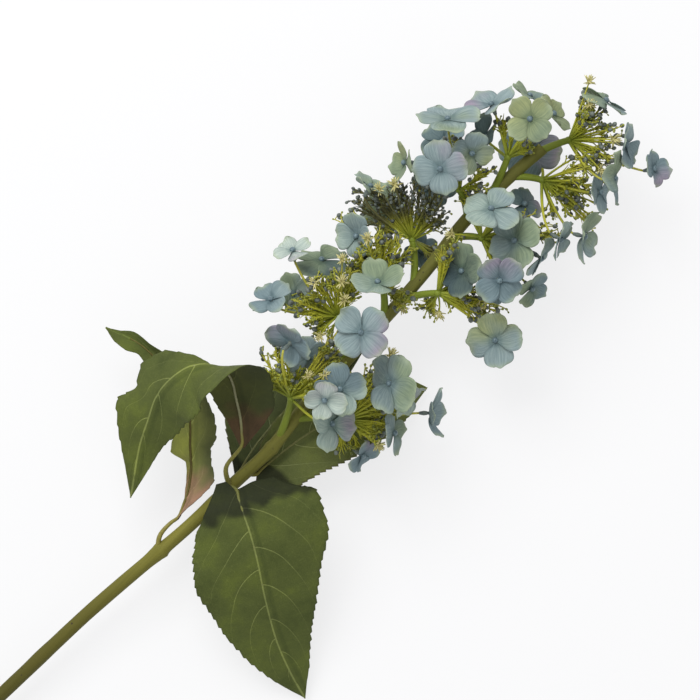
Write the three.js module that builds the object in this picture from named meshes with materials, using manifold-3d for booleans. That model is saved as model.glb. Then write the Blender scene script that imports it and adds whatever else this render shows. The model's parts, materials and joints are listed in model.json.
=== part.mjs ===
// A cut spray of panicle hydrangea lying on a table: a woody stem, five toothed leaves and a loose
// head of forked sprays that carry four-petalled florets, small buds and their stalks.
// Millimetres, +Z up. +X runs along the stem towards the head, +Y is across it.
import * as THREE from 'three';
import { mergeVertices } from 'three/addons/utils/BufferGeometryUtils.js';
import Module from 'manifold-3d';

const manifold = await Module();
manifold.setup();

// ---------------------------------------------------------------- driving dimensions

const GAP = 0.3;                  // clearance between neighbouring pieces
const STEM_RADIUS_CUT = 4.6;      // at the cut end
const STEM_RADIUS_HEAD = 4.0;     // at the blunt end inside the head
const STEM_SIDES = 10;
const COLLAR_AT = 277;            // lower leaf node, along the stem
const RING_AT = 377;              // ring under the lowest spray
const COLLAR_SWELL = 1.1;
const RING_SWELL = 0.7;

const LEAF_THICKNESS = 0.8;
const LEAF_TEETH = 7;
const TOOTH_DEPTH = 1.8;
const PETIOLE_RADIUS = 1.9;

const PETALS = 4;
const PETAL_THICKNESS = 0.7;
const PETAL_ROOT = 1.9;           // half side of the square where the petals meet
const PETAL_ROWS = [0.45, 0.8, 1];            // along the petal, as a share of its reach
const PETAL_HALF_WIDTHS = [0.4, 0.5, 0.26];   // at those rows, as a share of the reach
const EYE_RADIUS = 2.1;
const CALYX_LENGTH = 7.5;
const CALYX_RADIUS = 1.7;

const PEDUNCLE_RADII = [2.5, 2.0];
const STALK_RADII = [1.3, 0.85];
const RAY_RADII = [1.0, 0.8, 0.65, 1.45, 0.5];   // ends in a bud of its own
const BUD_RADII = [0.4, 1.35, 0.45];
const FORK_RADIUS = 3;
const TABLE_CLEARANCE = 1;
const STALK_END_GAP = 0.36;       // between a stalk and the calyx that it carries
const ROOT_DEPTH = 2;             // of a stalk in the calyx of a rooted floret

// Centreline of the stem: along, across, up.
const STEM_PATH = [
  [0, 6, 4.7], [135, 2, 17], [226, -1, 25], [277, -5, 30], [305, -7, 32.5], [344, -8, 36],
  [379, -9, 39], [405, -6, 41.5], [515, 0, 51.5], [537, 2, 53], [568, 6, 54], [613, 6, 55],
  [641, 4, 56],
];

// Leaves: the rib from the stem's axis to the tip, how many of its points are petiole, how steeply
// the two halves fold up, their widths at even places from base to tip, and the directions across.
const LEAVES = [
  {
    name: 'leaf_arched',
    rib: [[341, -8, 38], [349, 3, 48], [367, 6, 55], [378, 18, 59], [386, 30, 66], [393, 41, 76],
      [394, 50, 84], [388, 59, 88], [380, 65, 88], [367, 68, 85], [352, 67, 80], [336, 60, 72],
      [321, 53, 62], [291, 33, 44]],
    petiole: 2, fold: 10,
    left: [1, 7, 11, 14, 16, 13, 6, 12, 25, 28, 20, 27, 20, 13, 8, 4, 0],
    right: [1, 24, 26, 30, 32, 26, 16, 9, 0],
    across: [[0.71, -0.71, 0], [0.74, -0.6, 0.1], [-0.07, -0.78, 0.6], [0.25, -0.95, 0.1], [0.55, -0.83, 0]],
  },
  {
    name: 'leaf_under_arch',
    rib: [[277, -5, 30], [286, 2, 34], [297, 3, 34], [303, 2, 32], [317, 8, 30], [331, 18, 30],
      [342, 30, 32], [355, 43, 36], [363, 57, 40], [366, 77, 44], [366, 99, 46], [358, 123, 44]],
    petiole: 3, fold: 24,
    left: [1, 1, 2, 2, 3, 12, 10, 9, 11, 12, 12, 11, 8, 6, 8, 6, 0],
    right: [1, 8, 14, 19, 15, 15, 18, 17, 14, 13, 12, 9, 6, 4, 5, 2, 0],
    across: [[0.78, -0.35, 0.5], [0.71, -0.71, 0], [0.99, 0.07, 0]],
  },
  {
    name: 'leaf_hanging',
    rib: [[326, -8, 34], [338, -5, 46], [344, -12, 57], [339, -21, 62], [330, -39, 61], [321, -54, 57],
      [306, -76, 45], [290, -103, 27], [280, -128, 12], [276, -142, 5]],
    petiole: 2, fold: 7,
    left: [20, 34, 41, 43, 37, 31, 22, 12, 0], right: [26, 50, 50, 42, 36, 29, 22, 13, 0],
    across: [[0.91, -0.42, 0], [0.91, -0.42, 0]],
  },
  {
    name: 'leaf_side',
    rib: [[355, -9, 36], [359, -14, 34], [372, -15, 29], [400, -19, 26], [439, -30, 22],
      [464, -42, 16], [478, -54, 9]],
    petiole: 1, fold: 6,
    left: [1, 14, 20, 22, 22, 20, 16, 9, 0], right: [8, 24, 26, 28, 29, 28, 25, 18, 0],
    across: [[-0.37, -0.93, 0], [-0.37, -0.93, 0]],
  },
  {
    name: 'leaf_behind',
    rib: [[343, -8, 35], [350, -6, 24], [364, -2, 14], [384, 1, 11], [425, 2, 9], [465, -7, 6]],
    petiole: 1, fold: 4,
    left: [1, 15, 26, 25, 20, 16, 13, 8, 0], right: [1, 10, 15, 18, 19, 17, 14, 8, 0],
    across: [[0, -1, 0], [0, -1, 0]],
  },
];

// Sprays: where each leaves the stem's axis, its fork, its bud tufts [along, across, up, radius,
// rays] and its florets [eye along, across, up, facing bearing, tilt from upright, spin, reach, cup].
// Degrees and millimetres. A floret marked rooted is one piece with its spray.
const SPRAYS = [
  {
    name: 'spray_low_left', foot: [386, -8, 40], fork: [411, 5, 62],
    tufts: [[413, 26, 66, 12, 3], [419, 15, 74, 8, 1], [438, -4, 60, 10, 2], [422, -3, 70, 7, 1]],
    florets: [
      [436, 30, 90, 0, 125, 60, 17, -8], [438, 16, 66, 225, 30, 20, 15, -6],
      [438, -13, 84, 205, 14, 32, 17, -6], [426, -11, 99, 225, 24, 80, 14, 6],
      [418, -25, 75, 315, 46, 80, 18, -6],
    ],
  },
  {
    name: 'spray_low_right', foot: [402, -6, 41], fork: [426, -30, 56],
    tufts: [[449, -37, 60, 12, 2], [443, -52, 50, 12, 2], [419, -42, 44, 9, 2],
      [428, -55, 40, 8, 1], [458, -21, 52, 8, 1]],
    florets: [
      [463, -33, 88, 135, 42, 60, 21, -14], [442, -58, 56, 315, 70, 10, 15, -8],
      [463, -49, 72, 270, 72, 60, 14, 8], [468, -66, 50, 315, 78, 0, 16, 26],
      [417, -54, 46, 280, 66, 50, 13, 8],
    ],
  },
  {
    name: 'spray_mid_left', foot: [450, -4, 45], fork: [470, 21, 64],
    tufts: [[475, 46, 76, 10, 2], [487, 34, 80, 10, 2], [500, 36, 66, 8, 1],
      [457, 38, 72, 12, 2], [455, 24, 60, 10, 2]],
    florets: [
      [473, 3, 108, 135, 12, 42, 19, -5], [479, 71, 80, 55, 58, 20, 13, 10],
      [488, 54, 62, 40, 58, 45, 19, -10], [447, 59, 66, 75, 48, 10, 15, 10],
      [460, 52, 46, 105, 28, 45, 13, 10],
    ],
  },
  {
    name: 'spray_mid_right', foot: [506, 0, 51], fork: [526, -14, 64],
    tufts: [[536, -30, 60, 12, 2], [539, -44, 52, 10, 2], [517, -18, 50, 8, 1],
      [555, -1, 66, 7, 1]],
    florets: [[547, -15, 74, 135, 34, 10, 18, 8], [531, -62, 62, 155, 16, 80, 19, -6]],
  },
  {
    name: 'spray_upper_left', foot: [490, -1, 49], fork: [505, 16, 62],
    tufts: [[519, 58, 66, 10, 2], [524, 32, 72, 12, 2], [530, 38, 54, 10, 2],
      [507, 33, 72, 8, 1]],
    florets: [[515, 49, 72, 155, 32, 70, 15, 6], [503, 18, 98, 55, 42, 88, 17, 24]],
  },
  {
    name: 'spray_dark', foot: [518, 0, 52], fork: [539, 22, 56],
    tufts: [[533, 59, 66, 14, 3], [549, 57, 72, 12, 2], [556, 41, 72, 14, 3],
      [565, 25, 70, 12, 2], [555, 20, 58, 10, 2], [541, 1, 34, 10, 2]],
    florets: [
      [570, 60, 82, 135, 72, 0, 14, 14], [576, 37, 53, 205, 30, 10, 17, -8],
      [543, 65, 80, 15, 72, 60, 13, 14], [542, 47, 50, 105, 16, 40, 17, 6],
    ],
    rooted: [[539, 13, 26, 345, 26, 80, 13, -8]],
  },
  {
    name: 'spray_centre', foot: [558, 5, 54], fork: [571, -9, 70],
    tufts: [[595, -21, 60, 10, 2], [568, -28, 70, 8, 1], [602, -37, 52, 10, 2],
      [585, 16, 66, 8, 1]],
    florets: [
      [587, 0, 102, 45, 33, 57, 19, 8], [584, -25, 88, 125, 28, 30, 19, -6],
      [559, -36, 92, 225, 14, 40, 17, -5], [589, -45, 66, 280, 78, 55, 15, -6],
    ],
    rooted: [[607, -13, 45, 355, 40, 30, 13, 8], [572, -55, 48, 270, 56, 20, 13, 6],
      [560, -40, 8, 225, 20, 60, 15, -6]],
  },
  {
    name: 'spray_side', foot: [574, 6, 54], fork: [583, 23, 66],
    tufts: [[600, 42, 60, 8, 1], [597, 20, 70, 8, 1]],
    florets: [
      [608, 60, 95, 50, 62, 0, 21, 4], [582, 41, 106, 175, 14, 60, 18, -6],
      [604, 34, 92, 255, 30, 45, 15, 8],
    ],
    rooted: [[601, 54, 8, 55, 20, 30, 15, -6]],
  },
  {
    name: 'spray_fork', foot: [594, 6, 55], fork: [620, 16, 64],
    tufts: [[633, 10, 60, 8, 1], [633, 32, 66, 8, 1]],
    florets: [
      [636, 47, 76, 67, 64, 15, 18, 18], [645, 23, 102, 155, 15, 18, 16, 6],
      [658, 34, 63, 15, 76, 60, 13, 10], [659, 15, 82, 350, 68, 10, 14, 14],
      [619, 37, 62, 275, 58, 45, 15, -12],
    ],
  },
  {
    name: 'spray_tip_low', foot: [613, 6, 55], fork: [626, -10, 54],
    tufts: [[641, -26, 50, 14, 3], [627, -34, 46, 12, 2], [633, -48, 44, 10, 2],
      [650, -22, 72, 10, 2]],
    florets: [
      [619, -55, 60, 300, 70, 75, 17, 14], [606, -45, 76, 285, 72, 60, 14, 8],
      [646, -42, 68, 315, 58, 5, 15, -6], [636, 10, 30, 95, 12, 30, 21, -8],
    ],
  },
  {
    name: 'spray_tip', foot: [638, 4, 56], fork: [656, -4, 60],
    tufts: [[685, 5, 60, 12, 2], [678, -13, 66, 13, 2], [667, -24, 60, 13, 2],
      [657, -33, 52, 11, 2], [674, 0, 76, 12, 2]],
    florets: [
      [682, -56, 58, 325, 55, 80, 13, 6], [679, -32, 74, 305, 62, 70, 15, 8],
      [657, -42, 88, 320, 76, 88, 17, -4], [690, -3, 70, 9, 74, 54, 17, -10],
    ],
  },
];

// ---------------------------------------------------------------- materials

function finish(color, roughness) {
  return new THREE.MeshStandardMaterial({ color, roughness, metalness: 0, side: THREE.DoubleSide });
}

const STEM_BARK = finish('#6e6938', 0.7);
const LEAF_GREEN = finish('#5a6035', 0.75);
const SPRAY_GREEN = finish('#6a6f33', 0.75);
const SPRAY_DARK = finish('#4a4f48', 0.75);
const PETAL_BLUE = finish('#8a9698', 0.8);

// ---------------------------------------------------------------- helpers

function at(point) {
  return new THREE.Vector3(...point);
}

function radians(degrees) {
  return THREE.MathUtils.degToRad(degrees);
}

/** Seeded random numbers from 0 to 1, so that the head grows alike each time. */
function randomFrom(seed) {
  let state = seed;
  return () => {
    state = (state * 1664525 + 1013904223) % 4294967296;
    return state / 4294967296;
  };
}

function solidOf(geometry) {
  const bare = geometry.clone();
  bare.deleteAttribute('normal');
  bare.deleteAttribute('uv');
  const merged = mergeVertices(bare, 1e-4);
  return new manifold.Manifold(new manifold.Mesh({
    numProp: 3,
    vertProperties: new Float32Array(merged.attributes.position.array),
    triVerts: new Uint32Array(merged.index.array),
  }));
}

function geometryOf(solid) {
  const mesh = solid.getMesh();
  const geometry = new THREE.BufferGeometry();
  geometry.setAttribute('position', new THREE.BufferAttribute(mesh.vertProperties, 3));
  geometry.setIndex(new THREE.BufferAttribute(mesh.triVerts, 1));
  geometry.computeVertexNormals();
  return geometry;
}

function union(solids) {
  return solids.reduce((whole, piece) => whole.add(piece));
}

/** A round bar along a curve: a cylinder whose rings follow the curve at radiusAt(share). */
function bar(curve, radiusAt, sides, steps) {
  const geometry = new THREE.CylinderGeometry(1, 1, 1, sides, steps);
  const frames = curve.computeFrenetFrames(steps, false);
  const position = geometry.attributes.position;
  for (let i = 0; i < position.count; i += 1) {
    const ring = Math.round((position.getY(i) + 0.5) * steps);
    const radius = radiusAt(ring / steps);
    const point = curve.getPointAt(ring / steps)
      .addScaledVector(frames.normals[ring], position.getX(i) * radius)
      .addScaledVector(frames.binormals[ring], -position.getZ(i) * radius);
    position.setXYZ(i, point.x, point.y, point.z);
  }
  return solidOf(geometry);
}

/** A thin blade: place(u, v, side) gives both faces, u from -1 to 1 across and v from 0 to 1. */
function blade(columns, rows, place) {
  const sheet = new THREE.PlaneGeometry(2, 1, columns, rows);
  const count = sheet.attributes.position.count;
  const points = [1, -1].flatMap((side) => Array.from({ length: count }, (_, i) => {
    const u = sheet.attributes.position.getX(i);
    const v = sheet.attributes.position.getY(i) + 0.5;
    return place(u, v, side).toArray();
  })).flat();
  const front = Array.from(sheet.index.array);
  const back = front.map((_, i) => front[i - (i % 3) + 2 - (i % 3)] + count);
  const border = sheetBorder(columns, rows);
  const wall = border.flatMap((a, i) => {
    const b = border[(i + 1) % border.length];
    return [a, a + count, b, b, a + count, b + count];
  });
  const geometry = new THREE.BufferGeometry();
  geometry.setAttribute('position', new THREE.Float32BufferAttribute(points, 3));
  geometry.setIndex([...front, ...back, ...wall]);
  return solidOf(geometry);
}

/** Vertex numbers round the edge of a plane's grid, anticlockwise seen from its front. */
function sheetBorder(columns, rows) {
  const width = columns + 1;
  const left = Array.from({ length: rows }, (_, i) => i * width);
  const bottom = Array.from({ length: columns }, (_, i) => rows * width + i);
  const right = Array.from({ length: rows }, (_, i) => (rows - i) * width + columns);
  const top = Array.from({ length: columns }, (_, i) => columns - i);
  return [...left, ...bottom, ...right, ...top];
}

/** Radius of a bar whose rings take the listed values in turn. */
function stepped(radii) {
  return (t) => radii[Math.round(t * (radii.length - 1))];
}

/** Radius of a bar that tapers evenly from the first value to the last. */
function tapered([first, last]) {
  return (t) => THREE.MathUtils.lerp(first, last, t);
}

function clearOf(solid, neighbours) {
  return neighbours.every((other) => solid.minGap(other, 2 * GAP) >= GAP);
}

// ---------------------------------------------------------------- stem

const STEM_RING_PLACES = [135, 226, 273, COLLAR_AT, 281, 344, 373, RING_AT, 381, 405, 515, 570];

const stemCurve = new THREE.CatmullRomCurve3(STEM_PATH.map(at), false, 'chordal');

function swell(x, centre, height) {
  return height * Math.max(0, 1 - Math.abs(x - centre) / 4);
}

function stemRadius(share) {
  const x = stemCurve.getPointAt(share).x;
  return THREE.MathUtils.lerp(STEM_RADIUS_CUT, STEM_RADIUS_HEAD, share)
    + swell(x, COLLAR_AT, COLLAR_SWELL)
    + swell(x, RING_AT, RING_SWELL);
}

/** Rings of the stem: spread evenly, with three close together at the collar and at the ring. */
class StemRings extends THREE.Curve {
  constructor(shares) {
    super();
    this.shares = shares;
  }

  getPointAt(t) {
    return stemCurve.getPointAt(this.shares[Math.round(t * (this.shares.length - 1))]);
  }

  getTangentAt(t) {
    return stemCurve.getTangentAt(this.shares[Math.round(t * (this.shares.length - 1))]);
  }
}

function shareAtX(x) {
  let share = x / STEM_PATH[STEM_PATH.length - 1][0];
  for (let i = 0; i < 6; i += 1) {
    share += (x - stemCurve.getPointAt(share).x) / stemCurve.getLength();
  }
  return share;
}

function makeStem(extra) {
  const shares = [0, ...STEM_RING_PLACES.map(shareAtX), 1];
  const rings = new StemRings(shares);
  const radiusAt = (t) => stemRadius(shares[Math.round(t * (shares.length - 1))]) + extra;
  return bar(rings, radiusAt, STEM_SIDES, shares.length - 1);
}

// ---------------------------------------------------------------- leaves

/** Width of one half of a leaf at share v of its rib, from its widths at even places. */
function halfWidth(widths, v) {
  const place = v * (widths.length - 1);
  const i = Math.min(Math.floor(place), widths.length - 2);
  return THREE.MathUtils.lerp(widths[i], widths[i + 1], place - i);
}

function leafBlade(leaf, rib) {
  const across = new THREE.CatmullRomCurve3(leaf.across.map(at));
  const rows = 2 * LEAF_TEETH;
  return blade(2, rows, (u, v, side) => {
    const tangent = rib.getTangentAt(v);
    const wanted = across.getPoint(v);
    const sideways = wanted.addScaledVector(tangent, -wanted.dot(tangent)).normalize();
    const normal = sideways.clone().cross(tangent).normalize();
    const tooth = Math.round(v * rows) % 2 === 1 ? TOOTH_DEPTH / 2 : -TOOTH_DEPTH / 2;
    const outline = halfWidth(u < 0 ? leaf.left : leaf.right, v);
    const width = Math.max(0.5, outline + tooth * Math.sin(Math.PI * v));
    const rise = Math.abs(u) * width * Math.tan(radians(leaf.fold));
    return rib.getPointAt(v)
      .addScaledVector(sideways, u * width)
      .addScaledVector(normal, rise + side * LEAF_THICKNESS / 2);
  });
}

function makeLeaf(leaf, stemSleeve) {
  const rib = new THREE.CatmullRomCurve3(leaf.rib.slice(leaf.petiole).map(at));
  const petiolePoints = [...leaf.rib.slice(0, leaf.petiole + 1).map(at), rib.getPointAt(0.04)];
  const petioleRadius = (t) => PETIOLE_RADIUS * (1 - 0.5 * t);
  const petiole = bar(new THREE.CatmullRomCurve3(petiolePoints), petioleRadius, 4, 3);
  return leafBlade(leaf, rib).add(petiole).subtract(stemSleeve);
}

// ---------------------------------------------------------------- florets

/** Outline of four petals that meet in a small square round the eye. */
function petalsOutline(reach) {
  const side = PETAL_ROWS.map((out, i) => [out * reach, PETAL_HALF_WIDTHS[i] * reach]);
  const onePetal = [
    [PETAL_ROOT, -PETAL_ROOT],
    ...side.map(([out, half]) => [out, -half]),
    ...side.toReversed(),
  ];
  const turns = Array.from({ length: PETALS }, (_, i) => (2 * Math.PI * i) / PETALS);
  return new THREE.Shape(turns.flatMap((turn) => onePetal.map(([x, y]) => (
    new THREE.Vector2(x, y).rotateAround(new THREE.Vector2(), turn)
  ))));
}

/** The four petals as one blade, lifted towards their ends by the cup angle. */
function petals(reach, cup) {
  const flat = { depth: PETAL_THICKNESS, bevelEnabled: false };
  const geometry = new THREE.ExtrudeGeometry(petalsOutline(reach), flat);
  const position = geometry.attributes.position;
  for (let i = 0; i < position.count; i += 1) {
    const out = Math.hypot(position.getX(i), position.getY(i));
    const lift = Math.max(0, out - 2 * PETAL_ROOT) * Math.tan(radians(cup));
    position.setZ(i, position.getZ(i) - PETAL_THICKNESS / 2 + lift);
  }
  return solidOf(geometry);
}

/** Eye bead above the petals and the tubular calyx below them, as one turned piece. */
function eyeAndCalyx() {
  const profile = [
    [0, -CALYX_LENGTH], [1.1, -CALYX_LENGTH], [CALYX_RADIUS, -3.2], [1.1, -1.4],
    [EYE_RADIUS, 0.6], [0, 1.8],
  ].map(([radius, height]) => new THREE.Vector2(radius, height));
  return solidOf(new THREE.LatheGeometry(profile, 4).rotateX(Math.PI / 2));
}

function floretSolid(reach, cup) {
  return petals(reach, cup).add(eyeAndCalyx());
}

/** Turns a floret from face up to its bearing, tilt and spin. */
function facing(bearing, tilt, spin) {
  const turn = new THREE.Quaternion().setFromAxisAngle(new THREE.Vector3(0, 0, 1), radians(bearing));
  const lean = new THREE.Quaternion().setFromAxisAngle(new THREE.Vector3(0, 1, 0), radians(tilt));
  const roll = new THREE.Quaternion().setFromAxisAngle(new THREE.Vector3(0, 0, 1), radians(spin));
  return turn.multiply(lean).multiply(roll);
}

function makeFloret([x, y, z, bearing, tilt, spin, reach, cup]) {
  const solid = floretSolid(reach, cup);
  const place = new THREE.Vector3(x, y, z);
  const turn = facing(bearing, tilt, spin);
  const matrix = new THREE.Matrix4().compose(place, turn, new THREE.Vector3(1, 1, 1));
  const axis = new THREE.Vector3(0, 0, 1).applyQuaternion(turn);
  return { solid, place, turn, axis, placed: solid.transform(matrix.elements) };
}

// ---------------------------------------------------------------- sprays

function peduncle(spray, stemSleeve) {
  const foot = at(spray.foot);
  const fork = at(spray.fork);
  const bend = foot.clone().lerp(fork, 0.5);
  bend.x += foot.distanceTo(fork) * 0.12;
  const curve = new THREE.QuadraticBezierCurve3(foot, bend, fork);
  const knob = solidOf(new THREE.IcosahedronGeometry(FORK_RADIUS).translate(...spray.fork));
  return bar(curve, tapered(PEDUNCLE_RADII), 5, 2).add(knob).subtract(stemSleeve);
}

/** Ways round that a stalk may take: [out, up, lead] in millimetres, the straightest first. */
const STALK_WAYS = [16, 7].flatMap((lead) => (
  [0, 7, -7, 14, -14, 21, -21, 28, -28, 35, -35].flatMap((out) => (
    [0, 7, -7, 14, -14, 21, -21, 28, -28].map((up) => [out, up, lead])
  ))
)).sort((a, b) => Math.hypot(...a) - Math.hypot(...b));

/** A floret's stalk, from the fork to its calyx, on the straightest way clear of its neighbours. */
function stalk(fork, floret, endGap, neighbours) {
  const end = floret.place.clone().addScaledVector(floret.axis, -CALYX_LENGTH - endGap);
  const sideways = end.clone().sub(fork).cross(floret.axis).normalize();
  for (const [out, up, lead] of STALK_WAYS) {
    const bend = end.clone().addScaledVector(floret.axis, -lead);
    const swing = fork.clone().lerp(bend, 0.5).addScaledVector(sideways, out);
    swing.z += up;
    const start = swing.clone().sub(fork).setLength(0.7 * FORK_RADIUS).add(fork);
    const solid = bar(new THREE.CubicBezierCurve3(start, swing, bend, end), tapered(STALK_RADII), 3, 3);
    if (solid.boundingBox().min[2] > TABLE_CLEARANCE && clearOf(solid, neighbours)) {
      return solid;
    }
  }
  return null;
}

/** The ray that carries a tuft: from the fork to the tuft's middle, with a bud at its end. */
function ray(fork, tuft) {
  const middle = at(tuft);
  const outward = middle.clone().sub(fork).normalize();
  const start = fork.clone().addScaledVector(outward, 0.7 * FORK_RADIUS);
  const curve = new THREE.LineCurve3(start, middle);
  return { curve, outward, solid: bar(curve, stepped(RAY_RADII), 3, RAY_RADII.length - 1) };
}

/** A bud on its own short stalk, leaving a ray sideways at share t of its length. */
function bud(carrier, t, length, random) {
  const turn = new THREE.Vector3(random() - 0.5, random() - 0.5, random() - 0.4).normalize();
  const aim = carrier.outward.clone().addScaledVector(turn, 0.9).normalize();
  const root = carrier.curve.getPointAt(t);
  const end = root.clone().addScaledVector(aim, length);
  return bar(new THREE.LineCurve3(root, end), stepped(BUD_RADII), 3, BUD_RADII.length - 1);
}

// ---------------------------------------------------------------- assembly

const head = new THREE.Group();

function addMesh(name, solid, material, floret) {
  const mesh = new THREE.Mesh(geometryOf(solid), material);
  mesh.name = name;
  if (floret) {
    mesh.position.copy(floret.place);
    mesh.quaternion.copy(floret.turn);
  }
  head.add(mesh);
}

const stem = makeStem(0);
const stemSleeve = makeStem(GAP);
const leaves = LEAVES.map((leaf) => makeLeaf(leaf, stemSleeve));

const grown = SPRAYS.map((spray) => ({
  name: spray.name,
  fork: at(spray.fork),
  florets: spray.florets.map(makeFloret),
  rooted: (spray.rooted ?? []).map(makeFloret),
  wood: peduncle(spray, stemSleeve),
}));

/** Everything that a new twig of a spray has to stay clear of. */
function neighboursOf(spray) {
  const others = grown.filter((other) => other !== spray);
  return [
    stem,
    ...leaves,
    ...grown.flatMap((other) => other.florets.map((floret) => floret.placed)),
    ...others.flatMap((other) => [other.wood, ...other.rooted.map((floret) => floret.placed)]),
  ];
}

/** Joins the stalks of a spray to its fork, with the florets that are one piece with it. */
function growStalks(spray) {
  const neighbours = neighboursOf(spray);
  const free = spray.florets.map((floret) => stalk(spray.fork, floret, STALK_END_GAP, neighbours));
  const rooted = spray.rooted.flatMap((floret) => (
    [floret.placed, stalk(spray.fork, floret, -ROOT_DEPTH, neighbours)]
  ));
  spray.wood = union([spray.wood, ...free, ...rooted]);
  spray.rooted = [];
}

/** Adds the bud tufts of a spray, leaving out a bud that finds no clear place. */
function growTufts(spray, tufts, seed) {
  const random = randomFrom(seed);
  const neighbours = neighboursOf(spray);
  for (const tuft of tufts) {
    const [, , , spread, count] = tuft;
    const carrier = ray(spray.fork, tuft);
    const buds = Array.from({ length: count }, (_, i) => {
      const share = 0.45 + (0.35 * i) / count;
      const tries = Array.from({ length: 8 }, () => bud(carrier, share, spread, random));
      return tries.find((one) => clearOf(one, neighbours));
    });
    spray.wood = union([spray.wood, carrier.solid, ...buds.filter(Boolean)]);
  }
}

grown.forEach(growStalks);
grown.forEach((spray, i) => growTufts(spray, SPRAYS[i].tufts, 11 + i));

addMesh('stem', stem, STEM_BARK);
leaves.forEach((leaf, i) => addMesh(LEAVES[i].name, leaf, LEAF_GREEN));
grown.forEach((spray) => {
  addMesh(spray.name, spray.wood, spray.name === 'spray_dark' ? SPRAY_DARK : SPRAY_GREEN);
  spray.florets.forEach((floret, i) => {
    addMesh(`${spray.name.replace('spray', 'floret')}_${i + 1}`, floret.solid, PETAL_BLUE, floret);
  });
});

// The origin is under the middle of the spray's outer box.
const box = new THREE.Box3().setFromObject(head, true);
const middle = box.getCenter(new THREE.Vector3());
head.position.set(-middle.x, -middle.y, -box.min.z);

const hydrangea = new THREE.Group();
hydrangea.name = 'cut_hydrangea';
hydrangea.add(head);

export default hydrangea;
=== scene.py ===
# %% [markdown]
# # A cut spray of panicle hydrangea
#
# This lesson dresses a plain construction model of a cut hydrangea. The construction model gives the
# place and size of each part: a stem, five leaves, eleven forked sprays and their four-petalled
# florets. Every piece made here stands where its plain part stands and takes its place in the picture.

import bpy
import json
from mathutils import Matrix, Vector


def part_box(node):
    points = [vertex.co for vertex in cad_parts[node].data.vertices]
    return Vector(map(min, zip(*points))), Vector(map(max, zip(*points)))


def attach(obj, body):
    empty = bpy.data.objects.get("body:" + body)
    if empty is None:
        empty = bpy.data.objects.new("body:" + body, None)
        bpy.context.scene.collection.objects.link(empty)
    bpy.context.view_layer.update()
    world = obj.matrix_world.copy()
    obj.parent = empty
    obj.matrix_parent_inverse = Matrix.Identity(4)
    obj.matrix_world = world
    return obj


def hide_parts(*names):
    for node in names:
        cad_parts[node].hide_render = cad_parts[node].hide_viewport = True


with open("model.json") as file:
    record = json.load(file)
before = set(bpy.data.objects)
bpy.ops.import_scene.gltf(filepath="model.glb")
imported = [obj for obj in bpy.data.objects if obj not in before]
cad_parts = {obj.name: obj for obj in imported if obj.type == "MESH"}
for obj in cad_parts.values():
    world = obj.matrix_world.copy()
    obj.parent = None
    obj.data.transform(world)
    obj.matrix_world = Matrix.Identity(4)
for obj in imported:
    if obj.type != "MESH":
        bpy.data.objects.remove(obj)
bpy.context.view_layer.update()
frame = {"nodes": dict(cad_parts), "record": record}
slots = [material["slot"] for material in frame["record"]["materials"]]
print("plain parts:", len(frame["nodes"]), "material slots:", slots)

# %% Tools of this lesson
import json
import math
from bisect import bisect_left
from random import Random

import bmesh
import bpy
from mathutils import Color, Matrix, Vector, noise
from mathutils.bvhtree import BVHTree
from mathutils.geometry import interpolate_bezier

print("Blender", bpy.app.version_string)

# %% [markdown]
# ## One set of axes
#
# The plain model was drawn in millimetres, with X along the stem and the cut end near zero, and it
# was then moved so that its origin lies under its middle. Pieces could be drawn straight in the moved
# axes, but the drawing's own round numbers are easier to read. So each piece is drawn in millimetres
# and one matrix takes it to its place. The move is measured on the stem's cut end.

# %% From the drawing's millimetres to the scene
MM = 0.001
STEM_START = Vector((0, 6, 4.7))    # middle of the cut end in the drawing
CUT_DEPTH = 2                       # corners this near to the end belong to the cut


def cut_end_middle():
    """Middle of the plain stem's cut end, in metres. Corners that faces share count once."""
    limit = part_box("stem")[0].x + CUT_DEPTH * MM
    corners = frame["nodes"]["stem"].data.vertices
    points = {corner.co.to_tuple(7) for corner in corners if corner.co.x < limit}
    return sum((Vector(point) for point in points), Vector()) / len(points)


SHIFT = cut_end_middle() - STEM_START * MM
PLACE = Matrix.Translation(SHIFT) @ Matrix.Scale(MM, 4)
print("the drawing is shifted by", [round(c / MM, 2) for c in SHIFT], "mm")

# %% [markdown]
# ## The view
#
# The picture looks straight down on the spray, with the stem running up to the right. A long lens
# keeps the far petals as large as the near ones, so the camera hangs high and sees a narrow angle.

# %% Camera
UNDER_CAMERA = Vector((460, 0, 50))    # the point of the drawing at the picture's middle
CAMERA_HEIGHT = 2400                   # above that point
HALF_VIEW = 227.5                      # half the width of what it sees there
STEM_TURN = math.radians(45)           # how far the stem is turned from the picture's right

camera_data = bpy.data.cameras.new("camera")
camera_data = bpy.data.cameras.new("camera")
camera_data.angle = 2 * math.atan(HALF_VIEW / CAMERA_HEIGHT)
camera_data.clip_end = 50              # metres
camera = bpy.data.objects.new("camera", camera_data)
camera.location = PLACE @ (UNDER_CAMERA + Vector((0, 0, CAMERA_HEIGHT)))
camera.rotation_euler = (0, 0, -STEM_TURN)
bpy.context.scene.collection.objects.link(camera)
bpy.context.scene.camera = camera
print("camera sees", 2 * HALF_VIEW, "mm across from", CAMERA_HEIGHT, "mm")


def in_picture(degrees):
    """A level direction of the drawing, from its angle in the picture: 0 right, 90 up."""
    angle = math.radians(degrees) - STEM_TURN
    return Vector((math.cos(angle), math.sin(angle), 0))

# %% [markdown]
# ## Floor and light
#
# The real spray was shown on a white sheet in soft light that comes mostly from the picture's top. A
# sun would draw hard shadows and a bare sky would draw none. One wide soft light and a bright even sky
# give faint shadows and keep the form of each petal.

# %% Floor, sky and lamps
LAMP_REACH = 1.3        # how far a lamp stands to the side of the spray, in metres
SKY_STRENGTH = 0.66
FLOOR_HALF = 6          # half the floor's width, in metres


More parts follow.
